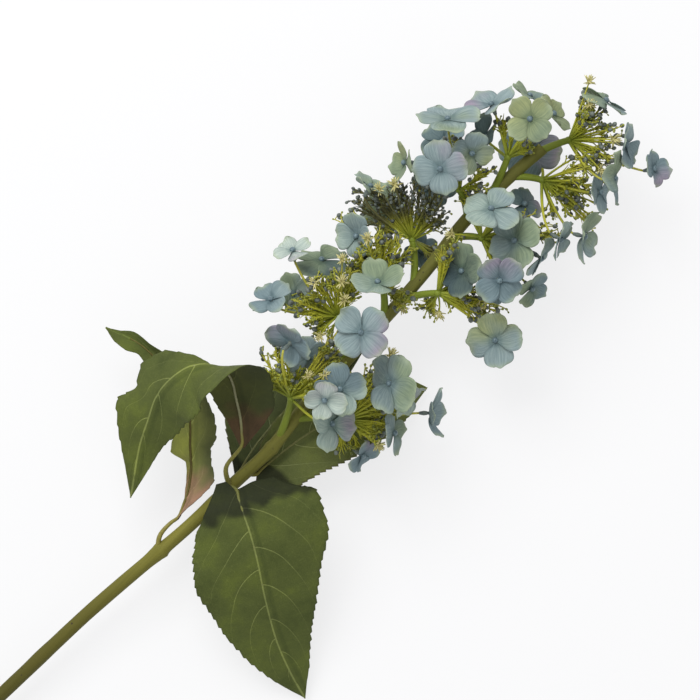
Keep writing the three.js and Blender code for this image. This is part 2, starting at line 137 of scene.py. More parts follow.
def lamp(name, towards, height, size, power):
    """A square soft lamp that leans towards the spray from a direction in the picture."""
    data = bpy.data.lights.new(name, "AREA")
    data.size = size
    data.energy = power
    made = bpy.data.objects.new(name, data)
    aim = PLACE @ UNDER_CAMERA
    made.location = aim + in_picture(towards) * LAMP_REACH + Vector((0, 0, height))
    made.rotation_euler = (aim - made.location).to_track_quat("-Z", "Y").to_euler()
    bpy.context.scene.collection.objects.link(made)
    return made


def mesh_of(name, bm):
    """A mesh with the shape of a bmesh, which is then let go."""
    mesh = bpy.data.meshes.new(name)
    bm.to_mesh(mesh)
    bm.free()
    return mesh


lamps = [lamp("key", 115, 1.6, 1.3, 34), lamp("fill", 300, 2.4, 2.4, 4)]

world = bpy.data.worlds.new("sky")
world.use_nodes = True
sky = world.node_tree.nodes["Background"].inputs
sky["Color"].default_value = (1, 1, 1, 1)
sky["Strength"].default_value = SKY_STRENGTH
bpy.context.scene.world = world
bpy.context.scene.view_settings.view_transform = "Standard"

sheet = bmesh.new()
bmesh.ops.create_grid(sheet, x_segments=1, y_segments=1, size=FLOOR_HALF)
floor = bpy.data.objects.new("floor", mesh_of("floor", sheet))
bpy.context.scene.collection.objects.link(floor)
print("lamps:", [made.name for made in lamps], "and an even sky")

# %% [markdown]
# ## Colours and how nodes are put together
#
# Colours are written as they look on a screen and turned to Blender's own linear values in one place.
# A short helper adds a node and joins its inputs, so that each material below reads like a recipe.

# %% Colour and node helpers
def shade(red, green, blue):
    """A screen colour, each part from 0 to 255, as linear RGBA."""
    return (*Color((red / 255, green / 255, blue / 255)).from_srgb_to_scene_linear(), 1)


def plug(tree, value, socket):
    """Joins an input to another node's socket, or gives the input a value of its own."""
    if isinstance(value, bpy.types.NodeSocket):
        tree.links.new(value, socket)
    elif value is not None:
        socket.default_value = value


def node(tree, kind, *inputs, **settings):
    """Adds a node. Its inputs, in order, are values or other nodes' sockets."""
    made = tree.nodes.new("ShaderNode" + kind)
    for name, value in settings.items():
        setattr(made, name, value)
    for socket, value in zip(made.inputs, inputs):
        plug(tree, value, socket)
    return made


def maths(tree, operation, *inputs):
    """The result of a sum, product or other step of arithmetic."""
    return node(tree, "Math", *inputs, operation=operation).outputs[0]


def mixed(tree, factor, first, second, blend="MIX"):
    """Mixes two colours, each a socket or RGBA."""
    mix = tree.nodes.new("ShaderNodeMix")
    mix.data_type = "RGBA"
    mix.blend_type = blend
    for name, value in (("Factor_Float", factor), ("A_Color", first), ("B_Color", second)):
        plug(tree, value, next(s for s in mix.inputs if s.identifier == name))
    return next(s for s in mix.outputs if s.identifier == "Result_Color")


def dyed(tree, factor, colour, gain):
    """A colour whose red, green and blue are multiplied by gains, as strongly as the factor says."""
    return mixed(tree, factor, colour, (*gain, 1), "MULTIPLY")


print("a leaf green in linear values:", [round(c, 3) for c in shade(90, 97, 54)])

# %% [markdown]
# ## Where a finish changes
#
# A finish on the real spray changes with the place: spots on the bark, tints along a leaf, tones along
# a twig. The place could be read from the camera's view, but then the pattern would slide over a piece
# that turns. So the helpers below read the place on the piece, its own map, or a value stored at its
# points, and turn it into a colour or a share.

# %% Values over a surface, and a new material
def ramp(tree, value, *stops):
    """A smooth step of a value through colours: each stop is its place and its colour."""
    made = node(tree, "ValToRGB", value)
    elements = made.color_ramp.elements
    while len(elements) < len(stops):
        elements.new(0.5)
    for element, (place, colour) in zip(elements, stops):
        element.position = place
        element.color = colour
    return made.outputs[0]


def spread(tree, value, low, high, to_low=0.0, to_high=1.0):
    """Maps a value from one range to another in a smooth step."""
    made = node(tree, "MapRange", value, low, high, to_low, to_high, interpolation_type="SMOOTHSTEP")
    return made.outputs[0]


def clouds(tree, place, scale, detail, roughness=0.5):
    """Soft spots, as a value: how many to a unit, and how many finer ones they hold."""
    return node(tree, "TexNoise", place, None, scale, detail, roughness).outputs["Fac"]


def coordinates(tree):
    """The piece's own map, and the place on the object in metres."""
    made = node(tree, "TexCoord").outputs
    return made["UV"], made["Object"]


def stored(tree, name, output="Fac"):
    """A value or colour that the piece stores at its points."""
    return node(tree, "Attribute", attribute_name=name).outputs[output]


def new_material(name, roughness, specular=0.3):
    """A material, its node tree and its shader."""
    material = bpy.data.materials.new(name)
    material.use_nodes = True
    tree = material.node_tree
    shader = tree.nodes["Principled BSDF"]
    shader.inputs["Roughness"].default_value = roughness
    shader.inputs["Specular IOR Level"].default_value = specular
    return material, tree, shader


def bump(tree, shader, height, strength, distance):
    """Sends a height to the shader's normal."""
    made = node(tree, "Bump", strength, distance, None, height)
    tree.links.new(made.outputs[0], shader.inputs["Normal"])


print("a finish reads the map, the place or a stored value")

# %% [markdown]
# ## Effects that several finishes share
#
# Petals and leaves of this spray are printed cloth, and stem, leaves and petals all show fibres that
# run one way. Both effects could be repeated in each material. As node groups they are built once, and
# each material sets their scale. The groups put out only values, and the shaders stay outside.

# %% Node groups
def new_group(name, inputs, outputs):
    """An empty node group with its sockets. Each input is a name, a kind and its first value."""
    tree = bpy.data.node_groups.new(name, "ShaderNodeTree")
    for label, kind, default in inputs:
        socket = tree.interface.new_socket(label, in_out="INPUT", socket_type="NodeSocket" + kind)
        if default is not None:
            socket.default_value = default
    for label in outputs:
        tree.interface.new_socket(label, in_out="OUTPUT", socket_type="NodeSocketFloat")
    return tree, tree.nodes.new("NodeGroupInput"), tree.nodes.new("NodeGroupOutput")


def cloth_group():
    """Fine woven cloth: crossing threads and a little fluff, as a value round one half."""
    sockets = [("Vector", "Vector", None), ("Scale", "Float", 900)]
    tree, given, result = new_group("woven_cloth", sockets, ["Weave"])
    vector, scale = given.outputs[:2]
    warp, weft = (node(tree, "TexWave", vector, scale, 1.5, 1, 2, bands_direction=way).outputs["Fac"]
                  for way in "XY")
    fluff = clouds(tree, vector, maths(tree, "MULTIPLY", scale, 0.6), 3)
    threads = maths(tree, "MULTIPLY", maths(tree, "ADD", warp, weft), 0.25)
    tree.links.new(maths(tree, "ADD", threads, maths(tree, "MULTIPLY", fluff, 0.5)), result.inputs[0])
    return tree


def fibre_group():
    """Streaks that run along the second axis: the scales along and across set their shape."""
    sockets = [("Vector", "Vector", None), ("Across", "Float", 30), ("Along", "Float", 2)]
    tree, given, result = new_group("fibres", sockets, ["Streak"])
    vector, across, along = given.outputs[:3]
    stretch = node(tree, "CombineXYZ", across, along, across).outputs[0]
    stretched = node(tree, "VectorMath", vector, stretch, operation="MULTIPLY").outputs[0]
    tree.links.new(spread(tree, clouds(tree, stretched, 1, 4, 0.6), 0.32, 0.68), result.inputs[0])
    return tree


def placed(tree, group, *inputs):
    """Puts a node group in a material and gives its outputs."""
    return node(tree, "Group", *inputs, node_tree=group).outputs


woven_cloth = cloth_group()
fibres = fibre_group()
print("node groups:", woven_cloth.name, fibres.name)

# %% [markdown]
# ## Smooth lines
#
# Stem, leaf ribs and stalks all follow a smooth line through a few points. Blender's curves do that
# too, but the leaves need the line's place and direction at any share of its length. So a small class
# joins the points with Bezier pieces and reads them by length.

# %% A line that can be read by length
class Path:
    """A smooth line through points. Power 1 spaces its knots by distance, 0.5 by its root."""

    def __init__(self, points, power=0.5, steps=16):
        knots = [Vector(p) for p in points]
        knots = [2 * knots[0] - knots[1], *knots, 2 * knots[-1] - knots[-2]]
        self.line = [knots[1]]
        for a, b, c, d in zip(knots, knots[1:], knots[2:], knots[3:]):
            before, here, after = [(q - p).length ** power or 1 for p, q in ((a, b), (b, c), (c, d))]
            leave = ((b - a) / before - (c - a) / (before + here) + (c - b) / here) * here
            arrive = ((c - b) / here - (d - b) / (here + after) + (d - c) / after) * here
            self.line += interpolate_bezier(b, b + leave / 3, c - arrive / 3, c, steps + 1)[1:]
        self.reached = [0]
        for p, q in zip(self.line, self.line[1:]):
            self.reached.append(self.reached[-1] + (q - p).length)
        self.length = self.reached[-1]

    def at(self, share):
        """The point and direction at a share of the length."""
        goal = min(max(share, 0), 1) * self.length
        i = min(max(bisect_left(self.reached, goal), 1), len(self.line) - 1)
        start, end = self.line[i - 1], self.line[i]
        part = (goal - self.reached[i - 1]) / (self.reached[i] - self.reached[i - 1])
        return start.lerp(end, part), (end - start).normalized()

    def at_knot(self, share):
        """The point at a share of the knots, however far apart they are."""
        place = share * (len(self.line) - 1)
        i = min(int(place), len(self.line) - 2)
        return self.line[i].lerp(self.line[i + 1], place - i)


test_line = Path([(0, 0, 0), (60, 40, 0), (120, 0, 0)])
print("half way along a test line:", [round(c) for c in test_line.at(0.5)[0]])

# %% [markdown]
# ## Rods and finished pieces
#
# A rod could be made from cylinders, but they break at each bend. A curve with a round bevel bends
# smoothly and takes its own radius at each point, and hundreds of twigs fit in one curve. It is made a
# mesh at once, because the buds and petals have to join it.

# %% Rods
def smooth_step(value):
    """A share that starts and ends gently."""
    value = min(1, max(0, value))
    return value * value * (3 - 2 * value)


def rods(strands, resolution=1):
    """A mesh of round rods. Each strand is a list of points with the radius at each of them."""
    curve = bpy.data.curves.new("rods", "CURVE")
    curve.dimensions = "3D"
    curve.bevel_depth = 1
    curve.bevel_resolution = resolution
    curve.use_fill_caps = True
    for points, radii in strands:
        spline = curve.splines.new("POLY")
        spline.points.add(len(points) - 1)
        for knot, point, radius in zip(spline.points, points, radii):
            knot.co = (*point, 1)
            knot.radius = radius
    holder = bpy.data.objects.new("rods", curve)
    mesh = bpy.data.meshes.new_from_object(holder)
    bpy.data.objects.remove(holder)
    bpy.data.curves.remove(curve)
    return mesh


print("a gentle step at a quarter of its way:", smooth_step(0.25))

# %% A piece put in its place
MERGE_DISTANCE = 0.0005     # points this near to each other become one, in the drawing's millimetres


def with_mesh(bm, mesh, matrix=None, material=None):
    """Adds a copy of a mesh to a bmesh, moved by a matrix and in one of the piece's materials."""
    copy = mesh.copy()
    if matrix is not None:
        copy.transform(matrix)
    if material is not None:
        copy.polygons.foreach_set("material_index", [material] * len(copy.polygons))
    bm.from_mesh(copy)
    bpy.data.meshes.remove(copy)


def piece(name, bm, materials, slot, *plain_nodes):
    """Turns a bmesh drawn in millimetres into a finished piece that stands for plain parts."""
    bmesh.ops.remove_doubles(bm, verts=bm.verts[:], dist=MERGE_DISTANCE)
    bmesh.ops.transform(bm, matrix=PLACE, verts=bm.verts[:])
    for face in bm.faces:
        face.smooth = True
    mesh = mesh_of(name, bm)
    for material in materials:
        mesh.materials.append(material)
    made = bpy.data.objects.new(name, mesh)
    bpy.context.scene.collection.objects.link(made)
    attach(made, "root")
    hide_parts(*plain_nodes)
    return made


print("points closer than", MERGE_DISTANCE, "mm are merged")

# %% [markdown]
# ## Thin sheets
#
# Leaf and petal are single sheets of cloth. Blender's solidify keeps a sheet's thickness even at each
# corner, and where a sheet is bent sharply it throws long spikes. Here the sheet is copied, each point
# of the copy moves the same way down along its own normal, and the two rims are joined.

# %% A second side for a sheet
def thicken(bm, thickness):
    """Gives a sheet a second side below it and closes its rim. Returns the upper side's faces."""
    upper = bm.faces[:]
    copied = bmesh.ops.duplicate(bm, geom=upper)["geom"]
    lower = [item for item in copied if isinstance(item, bmesh.types.BMFace)]
    bm.normal_update()
    for vert in {vert for face in lower for vert in face.verts}:
        vert.co -= vert.normal * thickness
    bmesh.ops.reverse_faces(bm, faces=lower)
    bmesh.ops.bridge_loops(bm, edges=[edge for edge in bm.edges if edge.is_boundary])
    return set(upper)


test_sheet = bmesh.new()
bmesh.ops.create_grid(test_sheet, x_segments=2, y_segments=2, size=1)
thicken(test_sheet, 0.2)
print("a test sheet of 4 faces becomes a closed shell of", len(test_sheet.faces))
test_sheet.free()

# %% [markdown]
# ## Stem
#
# The stem is a woody shoot, olive green, that swells where leaves and sprays leave it. A straight
# cylinder would look like a pipe. This one is a single rod with many rings, whose radius swells in the
# same places as the plain stem, and whose skin is pushed in and out a little.

# %% Stem finish
BARK_TONES = [          # from the cut end to the tip
    (0.0, shade(82, 78, 28)), (0.3, shade(101, 97, 36)),
    (0.5, shade(122, 118, 48)), (1.0, shade(110, 110, 50)),
]


def stem_material():
    """Olive bark, browner at the cut end, with fine streaks, dull patches and dark nicks."""
    material, tree, shader = new_material("olive_bark", 0.68, 0.22)
    _, place = coordinates(tree)
    turned = node(tree, "Mapping", place, None, (0, math.radians(6), math.radians(90))).outputs[0]
    streak = placed(tree, fibres, turned, 420, 9)[0]
    patch = clouds(tree, place, 14, 3)
    along = maths(tree, "MULTIPLY_ADD", node(tree, "SeparateXYZ", place).outputs["X"], 3.2, 0.67)
    bark = ramp(tree, along, *BARK_TONES)
    bark = dyed(tree, spread(tree, patch, 0.35, 0.65, 0, 0.6), bark, (0.8, 0.78, 0.72))
    bark = mixed(tree, maths(tree, "MULTIPLY", streak, 0.3), bark, shade(84, 84, 36))
    speck = node(tree, "TexVoronoi", turned, None, 160, feature="F1").outputs["Distance"]
    nick = maths(tree, "MULTIPLY", spread(tree, speck, 0.16, 0.06), spread(tree, patch, 0.52, 0.6))
    bark = mixed(tree, nick, bark, shade(58, 50, 34))
    tree.links.new(bark, shader.inputs["Base Color"])
    bump(tree, shader, maths(tree, "SUBTRACT", streak, nick), 0.35, 0.0004)
    return material


def pith_material():
    """The pale, dry and grainy wood of the cut ends."""
    material, tree, shader = new_material("cut_pith", 0.85, 0.2)
    grain = clouds(tree, coordinates(tree)[1], 900, 4)
    pith = ramp(tree, grain, (0.3, shade(150, 138, 92)), (0.7, shade(196, 186, 140)))
    tree.links.new(pith, shader.inputs["Base Color"])
    bump(tree, shader, grain, 0.5, 0.0004)
    return material


olive_bark = stem_material()
cut_pith = pith_material()
print("stem finishes:", olive_bark.name, cut_pith.name)

# %% Stem
STEM_PATH = Path([
    (0, 6, 4.7), (135, 2, 17), (226, -1, 25), (277, -5, 30), (305, -7, 32.5), (344, -8, 36),
    (379, -9, 39), (405, -6, 41.5), (515, 0, 51.5), (537, 2, 53), (568, 6, 54), (613, 6, 55),
    (641, 4, 56),
], power=1)
STEM_RADII = (4.6, 4.0)     # at the cut end and at the tip
STEM_RINGS = 320
SWELLINGS = [               # each: how far along the stem, its reach to both sides and its height
    (277, 6, 0.7), (280, 1.8, 0.9), (377, 5, 0.4), (379, 1.6, 0.6),
    (60, 9, 0.25), (172, 9, 0.2), (326, 7, 0.4), (450, 7, 0.3),
]
BARK_SPOTS = (18, 3, 3)     # size of the uneven places of the bark
BARK_RELIEF = 0.16          # how far they stand out or in
PITH_INSET = 1.6            # width of the bark at a cut end
PITH_DEPTH = 0.25           # the pith lies a little deeper


def stem_radius(x, share):
    """Radius of the stem: an even taper, swollen where something leaves it."""
    taper = STEM_RADII[0] + (STEM_RADII[1] - STEM_RADII[0]) * share
    return taper + sum(height * math.exp(-((x - at) / reach) ** 2) for at, reach, height in SWELLINGS)


def stem_bmesh():
    """One rod with many rings, its skin pushed in and out, and the pith at both cut ends."""
    shares = [i / STEM_RINGS for i in range(STEM_RINGS + 1)]
    points = [STEM_PATH.at(share)[0] for share in shares]
    radii = [stem_radius(point.x, share) for point, share in zip(points, shares)]
    bm = bmesh.new()
    with_mesh(bm, rods([(points, radii)], resolution=10))
    bmesh.ops.remove_doubles(bm, verts=bm.verts[:], dist=0.001)
    for vert in bm.verts:
        spot = Vector([c / size for c, size in zip(vert.co, BARK_SPOTS)])
        vert.co += vert.normal * BARK_RELIEF * noise.noise(spot)
    ends = [face for face in bm.faces if len(face.verts) > 4]    # all others have four corners
    bmesh.ops.inset_region(bm, faces=ends, thickness=PITH_INSET, depth=-PITH_DEPTH)
    for face in ends:
        face.material_index = 1
    return bm


stem = piece("stem_bark", stem_bmesh(), [olive_bark, cut_pith], "stem", "stem")
print("stem:", len(stem.data.polygons), "faces,", round(STEM_PATH.length), "mm long")

# %% [markdown]
# ## Leaves
#
# A hydrangea leaf is broad, drawn out at its tip, finely toothed and ribbed with arching side veins.
# It could be cut from a flat sheet and bent with a lattice. Here a grid is bent row by row along the
# leaf's rib, which gives each leaf its own droop, and the same vein rule presses the veins into the
# mesh and colours them in the material.

# %% Vein rule
VEIN_PAIRS = 6
VEIN_SWEEP = 0.34       # how far a vein runs forward between rib and edge, as a share of the length
VEIN_POWER = 1.5        # how it bends: above 1 it leaves the rib squarely and then turns forward
VEIN_OFFSET = 0.42      # the left veins start between the right ones


def vein_distance(u, v):
    """Distance of a point of the leaf from the nearest side vein, as a share of the length."""
    phase = (v - VEIN_SWEEP * abs(u) ** VEIN_POWER) * VEIN_PAIRS + (VEIN_OFFSET if u < 0 else 0)
    return abs(phase % 1 - 0.5) / VEIN_PAIRS


print("a vein leaves the rib every", round(100 / VEIN_PAIRS), "% of the leaf")

# %% [markdown]
# ## Leaf finishes
#
# A leaf is matt olive green above, with pale veins and a fine net between them, and duller below. A
# picture of a leaf could be laid over the blade. Here nodes draw the veins on the leaf's own map by the
# rule that also shapes the mesh, so the two always meet. A vein makes the tint under it lighter and
# brings no colour of its own, because a fixed colour would glow in the dark fold at the stem.

# %% The vein rule as nodes
def vein_group():
    """Side veins and midrib as one value, and the fine net between them as another."""
    sockets = [("UV", "Vector", None), ("Across", "Float", 0)]
    tree, given, result = new_group("leaf_veins", sockets, ["Veins", "Net"])
    uv, across = given.outputs[:2]
    x, y, _ = node(tree, "SeparateXYZ", uv).outputs
    u = maths(tree, "ABSOLUTE", maths(tree, "MULTIPLY_ADD", x, 2, -1))
    sweep = maths(tree, "MULTIPLY", maths(tree, "POWER", u, VEIN_POWER), VEIN_SWEEP)
    left = maths(tree, "MULTIPLY", maths(tree, "LESS_THAN", x, 0.5), VEIN_OFFSET)
    phase = maths(tree, "MULTIPLY_ADD", maths(tree, "SUBTRACT", y, sweep), VEIN_PAIRS, left)
    away = maths(tree, "ABSOLUTE", maths(tree, "SUBTRACT", maths(tree, "FRACT", phase), 0.5))
    side = spread(tree, away, 0.006, 0.024, 1, 0)
    side = maths(tree, "MULTIPLY", side, spread(tree, u, 0.1, 1.0, 1, 0.15))
    midrib = spread(tree, maths(tree, "ABSOLUTE", across), 0.25, 0.8, 1, 0)
    tree.links.new(maths(tree, "MAXIMUM", side, midrib), result.inputs["Veins"])
    cells = node(tree, "VectorMath", uv, (12, 22, 1), operation="MULTIPLY").outputs[0]
    warp = node(tree, "TexNoise", cells, None, 1.3, 2).outputs["Color"]
    cells = node(tree, "VectorMath", cells, warp, operation="ADD").outputs[0]
    edge = node(tree, "TexVoronoi", cells, feature="DISTANCE_TO_EDGE").outputs["Distance"]
    tree.links.new(spread(tree, edge, 0.01, 0.07, 1, 0), result.inputs["Net"])
    return tree


leaf_veins = vein_group()
vein_sockets = leaf_veins.interface.items_tree
print("vein values:", [socket.name for socket in vein_sockets if socket.in_out == "OUTPUT"])

# %% Leaf finishes
RIB_SHADOW_AT = 3.8         # a soft painted shadow of the midrib runs beside it, this far to its right


def leaf_material(name, vein_gain, vein_strength, relief):
    """Printed leaf cloth over the leaf's own tint. The vein gain makes that tint lighter."""
    material, tree, shader = new_material(name, 0.74, 0.22)
    uv, place = coordinates(tree)
    across = stored(tree, "across_mm")
    veins, net = placed(tree, leaf_veins, uv, across)
    weave = placed(tree, woven_cloth, place, 700)[0]
    blotch = clouds(tree, place, 38, 4, 0.6)
    colour = stored(tree, "tint", "Color")
    colour = dyed(tree, spread(tree, blotch, 0.45, 0.75, 0, 0.75), colour, (1.5, 1.5, 1.05))
    colour = dyed(tree, spread(tree, blotch, 0.5, 0.25, 0, 0.75), colour, (0.6, 0.64, 0.6))
    colour = dyed(tree, maths(tree, "MULTIPLY", weave, 0.35), colour, (0.3, 0.33, 0.5))
    # painted shadow of the midrib: a narrow darker band beside it
    from_rib_shadow = maths(tree, "ABSOLUTE", maths(tree, "SUBTRACT", across, RIB_SHADOW_AT))
    colour = dyed(tree, spread(tree, from_rib_shadow, 0.6, 2.4, 0.4, 0), colour, (0.5, 0.55, 0.5))
    colour = dyed(tree, maths(tree, "MULTIPLY", net, 0.15), colour, vein_gain)
    colour = dyed(tree, maths(tree, "MULTIPLY", veins, vein_strength), colour, vein_gain)
    tree.links.new(colour, shader.inputs["Base Color"])
    height = maths(tree, "MULTIPLY_ADD", veins, relief, maths(tree, "MULTIPLY", weave, 0.12))
    bump(tree, shader, height, 0.5, 0.0004)
    return material


def rib_material():
    """Petiole and midrib: waxy and finely ribbed along their length, in the tint of their leaf."""
    material, tree, shader = new_material("leaf_stalk", 0.55, 0.35)
    streak = placed(tree, fibres, coordinates(tree)[1], 600, 120)[0]
    tint = stored(tree, "tint", "Color")
    colour = mixed(tree, maths(tree, "MULTIPLY", streak, 0.3), tint, shade(78, 72, 38))
    tree.links.new(colour, shader.inputs["Base Color"])
    bump(tree, shader, streak, 0.3, 0.0003)
    return material


leaf_finishes = [
    leaf_material("leaf_upper_side", (3.2, 2.9, 4.2), 0.62, -0.8),
    leaf_material("leaf_underside", (2.0, 2.0, 2.3), 0.6, 0.9),
    rib_material(),
]
print("leaf finishes:", [finish.name for finish in leaf_finishes])

# %% [markdown]
# ## Five leaves, each its own
#
# One leaf arches over the stem and shows both its sides, one hangs to the front, and the others stand
# aside or lie half hidden. One leaf could be copied and turned five times, but then all would droop
# alike. So each has its own rib, drawn as points from the stem to the tip, and its own outline, given
# as a row of widths on each side of the rib.

# %% Leaf sizes
LEAF_GREEN = shade(78, 87, 38)
DULL_GREEN = shade(92, 94, 56)

# Each leaf: its rib from the stem to the tip, how many of those points are petiole, its fold in degrees,
# which side of the grid is the upper one, how far the lobes of its base reach back left and right, how
# far up the rib the base tint and the painted dark shade at the stem run, its widths left and right of
# the rib at even places, the directions across, its tints above, below left and right, and below at the
# base, and the tints of petiole and midrib.
LEAVES = {
    "leaf_arched": dict(
        rib=[(341, -8, 38), (349, 3, 48), (367, 6, 55), (378, 18, 59), (386, 30, 66), (393, 41, 76),
             (394, 50, 84), (388, 59, 88), (380, 65, 88), (367, 68, 85), (352, 67, 80), (336, 60, 72),
             (321, 53, 62), (291, 33, 44)],
        petiole=2, fold=10, upper=-1, lobes=(2, 2), blush=0.17, dark=0.05,
        left=(1, 7, 11, 14, 16, 13, 6, 12, 25, 28, 20, 27, 20, 13, 8, 4, 0),
        right=(1, 24, 26, 30, 32, 26, 16, 9, 0),
        across=[(0.71, -0.71, 0), (0.74, -0.6, 0.1), (-0.07, -0.78, 0.6), (0.25, -0.95, 0.1),
                (0.55, -0.83, 0)],
        # its underside tints hold painted shade: they are darker than the leaf's own dull green below
        top=LEAF_GREEN, below=(shade(72, 76, 34), shade(58, 64, 32)), base=shade(84, 62, 42),
        stalk=(shade(122, 118, 50), shade(138, 138, 104)),
    ),
    "leaf_under_arch": dict(
        rib=[(277, -5, 30), (286, 2, 34), (297, 3, 34), (303, 2, 32), (317, 8, 30), (331, 18, 30),
             (342, 30, 32), (355, 43, 36), (363, 57, 40), (366, 77, 44), (366, 99, 46), (358, 123, 44)],
        petiole=3, fold=24, upper=-1, lobes=(1, 1), blush=0.26, dark=0.05,
        left=(1, 1, 2, 2, 3, 12, 10, 9, 11, 12, 12, 11, 8, 6, 8, 6, 0),
        right=(1, 8, 14, 19, 15, 15, 18, 17, 14, 13, 12, 9, 6, 4, 5, 2, 0),
        across=[(0.78, -0.35, 0.5), (0.71, -0.71, 0), (0.99, 0.07, 0)],
        # its underside's left half is a paler yellow-green, painted lighter still with light shining through
        # it
        top=LEAF_GREEN, below=(shade(158, 163, 88), shade(90, 95, 56)), base=shade(166, 126, 102),
        stalk=(shade(134, 126, 56), shade(104, 94, 42)),
    ),
    "leaf_hanging": dict(
        rib=[(326, -8, 34), (338, -5, 46), (344, -12, 57), (339, -21, 62), (330, -39, 61), (321, -54, 57),
             (306, -76, 45), (290, -103, 27), (280, -128, 12), (276, -142, 5)],
        petiole=2, fold=7, upper=-1, lobes=(8, 3), blush=0.1, dark=0.13,
        left=(12, 34, 41, 43, 37, 31, 22, 12, 0), right=(26, 50, 50, 42, 36, 29, 22, 13, 0),
        across=[(0.91, -0.42, 0), (0.91, -0.42, 0)],
        top=LEAF_GREEN, below=(DULL_GREEN, DULL_GREEN), base=shade(96, 70, 50),
        stalk=(shade(104, 106, 48), shade(118, 124, 70)),
    ),
    "leaf_side": dict(
        rib=[(355, -9, 36), (359, -14, 34), (372, -15, 29), (400, -19, 26), (439, -30, 22),
             (464, -42, 16), (478, -54, 9)],
        petiole=1, fold=6, upper=1, lobes=(3, 3), blush=0.2, dark=0.12,
        left=(1, 14, 20, 22, 22, 20, 16, 9, 0), right=(8, 24, 26, 28, 29, 28, 25, 18, 0),
        across=[(-0.37, -0.93, 0), (-0.37, -0.93, 0)],
        top=shade(98, 106, 56), below=(DULL_GREEN, DULL_GREEN), base=shade(92, 64, 46),
        stalk=(shade(132, 126, 50), shade(126, 128, 74)),
    ),
    "leaf_behind": dict(
        rib=[(343, -8, 35), (350, -6, 24), (364, -2, 14), (384, 1, 11), (425, 2, 9), (465, -7, 6)],
        petiole=1, fold=4, upper=1, lobes=(2, 2), blush=0.2, dark=0.12,
        left=(1, 15, 26, 25, 20, 16, 13, 8, 0), right=(1, 10, 15, 18, 19, 17, 14, 8, 0),
        across=[(0, -1, 0), (0, -1, 0)],
        top=shade(76, 84, 48), below=(DULL_GREEN, DULL_GREEN), base=shade(80, 68, 46),
        stalk=(shade(118, 112, 60), shade(112, 116, 70)),
    ),
}
print("rib lengths in mm:", {name: round(Path(leaf["rib"]).length) for name, leaf in LEAVES.items()})

# %% Outline of a leaf
LEAF_COLUMNS = 28
LEAF_TEETH = 26
LEAF_ROWS = LEAF_TEETH * 7      # each tooth takes seven rows of the grid
TOOTH_DEPTH = 1.5
NARROWEST = 0.3                 # half width that the blade keeps even at its tip


def half_widths(widths):
    """Width of one half of a leaf at each row of the grid, smooth between its even places."""
    outline = Path([(i, width, 0) for i, width in enumerate(widths)], power=1)
    return [max(NARROWEST, outline.at_knot(row / LEAF_ROWS).y) for row in range(LEAF_ROWS + 1)]


def tooth(v, depths):
    """How far the saw edge stands out: each tooth rises slowly and drops towards the tip."""
    place = v * LEAF_TEETH
    depth = depths[min(int(place), LEAF_TEETH - 1)]
    return depth * (place % 1 - 0.5) * min(1, 6 * v, 9 * (1 - v))


def leaf_sections(leaf, rib):
    """For each row of the grid: rib point, direction across and direction up."""
    across = Path(leaf["across"])
    sections = []
    for row in range(LEAF_ROWS + 1):
        point, along = rib.at(row / LEAF_ROWS)
        wanted = across.at_knot(row / LEAF_ROWS)
        sideways = (wanted - along * wanted.dot(along)).normalized()
        sections.append((point, sideways, sideways.cross(along).normalized()))
    return sections


print("grid of a leaf:", LEAF_COLUMNS, "by", LEAF_ROWS, "faces a side")

# %% Relief and tint of a leaf
VEIN_DEPTH = 0.55               # how far a side vein is pressed in
VEIN_WIDTH = 1.6
EDGE_WAVE = 1.1                 # how far the edge waves up and down
PAINTED_FOLD_SHADE = shade(25, 29, 14)  # painted shade on the upper side where it folds into the stem


def leaf_relief(u, v, length, upper):
    """Height of the blade above its smooth sheet: veins pressed in, and an edge that waves."""
    vein = math.exp(-(vein_distance(u, v) * length / VEIN_WIDTH) ** 2) * (1 - 0.6 * abs(u))
    wave = EDGE_WAVE * math.sin(2 * math.pi * (2.6 * v + 0.3 * math.copysign(1, u))) * abs(u) ** 3
    return -VEIN_DEPTH * vein * upper + wave


def leaf_tints(leaf, u, v, spot):
    """Tint of the upper side and of the underside at one place, mottled by the spot's noise."""
    mottle = noise.noise(spot / 9)
    base = smooth_step(1.6 - 1.6 * v / leaf["blush"] + 0.5 * mottle)
    left, right = (Vector(tint) for tint in leaf["below"])
    below = left.lerp(right, smooth_step(0.1 + 0.9 * u)).lerp(Vector(leaf["base"]), 0.85 * base)
    below = below.lerp(Vector(leaf["top"]), smooth_step((v - 0.6) / 0.2))
    # painted shade: the upper side darkens near its base, as far up the rib as the leaf's dark value says
    painted_shade = 0.85 * smooth_step((leaf["dark"] - v + 0.05 * mottle) / 0.05)
    return Vector(leaf["top"]).lerp(Vector(PAINTED_FOLD_SHADE), painted_shade), below


print("veins are pressed in by", VEIN_DEPTH, "mm, and the edge waves by", EDGE_WAVE, "mm")

# %% Blade of a leaf
LEAF_THICKNESS = 0.45


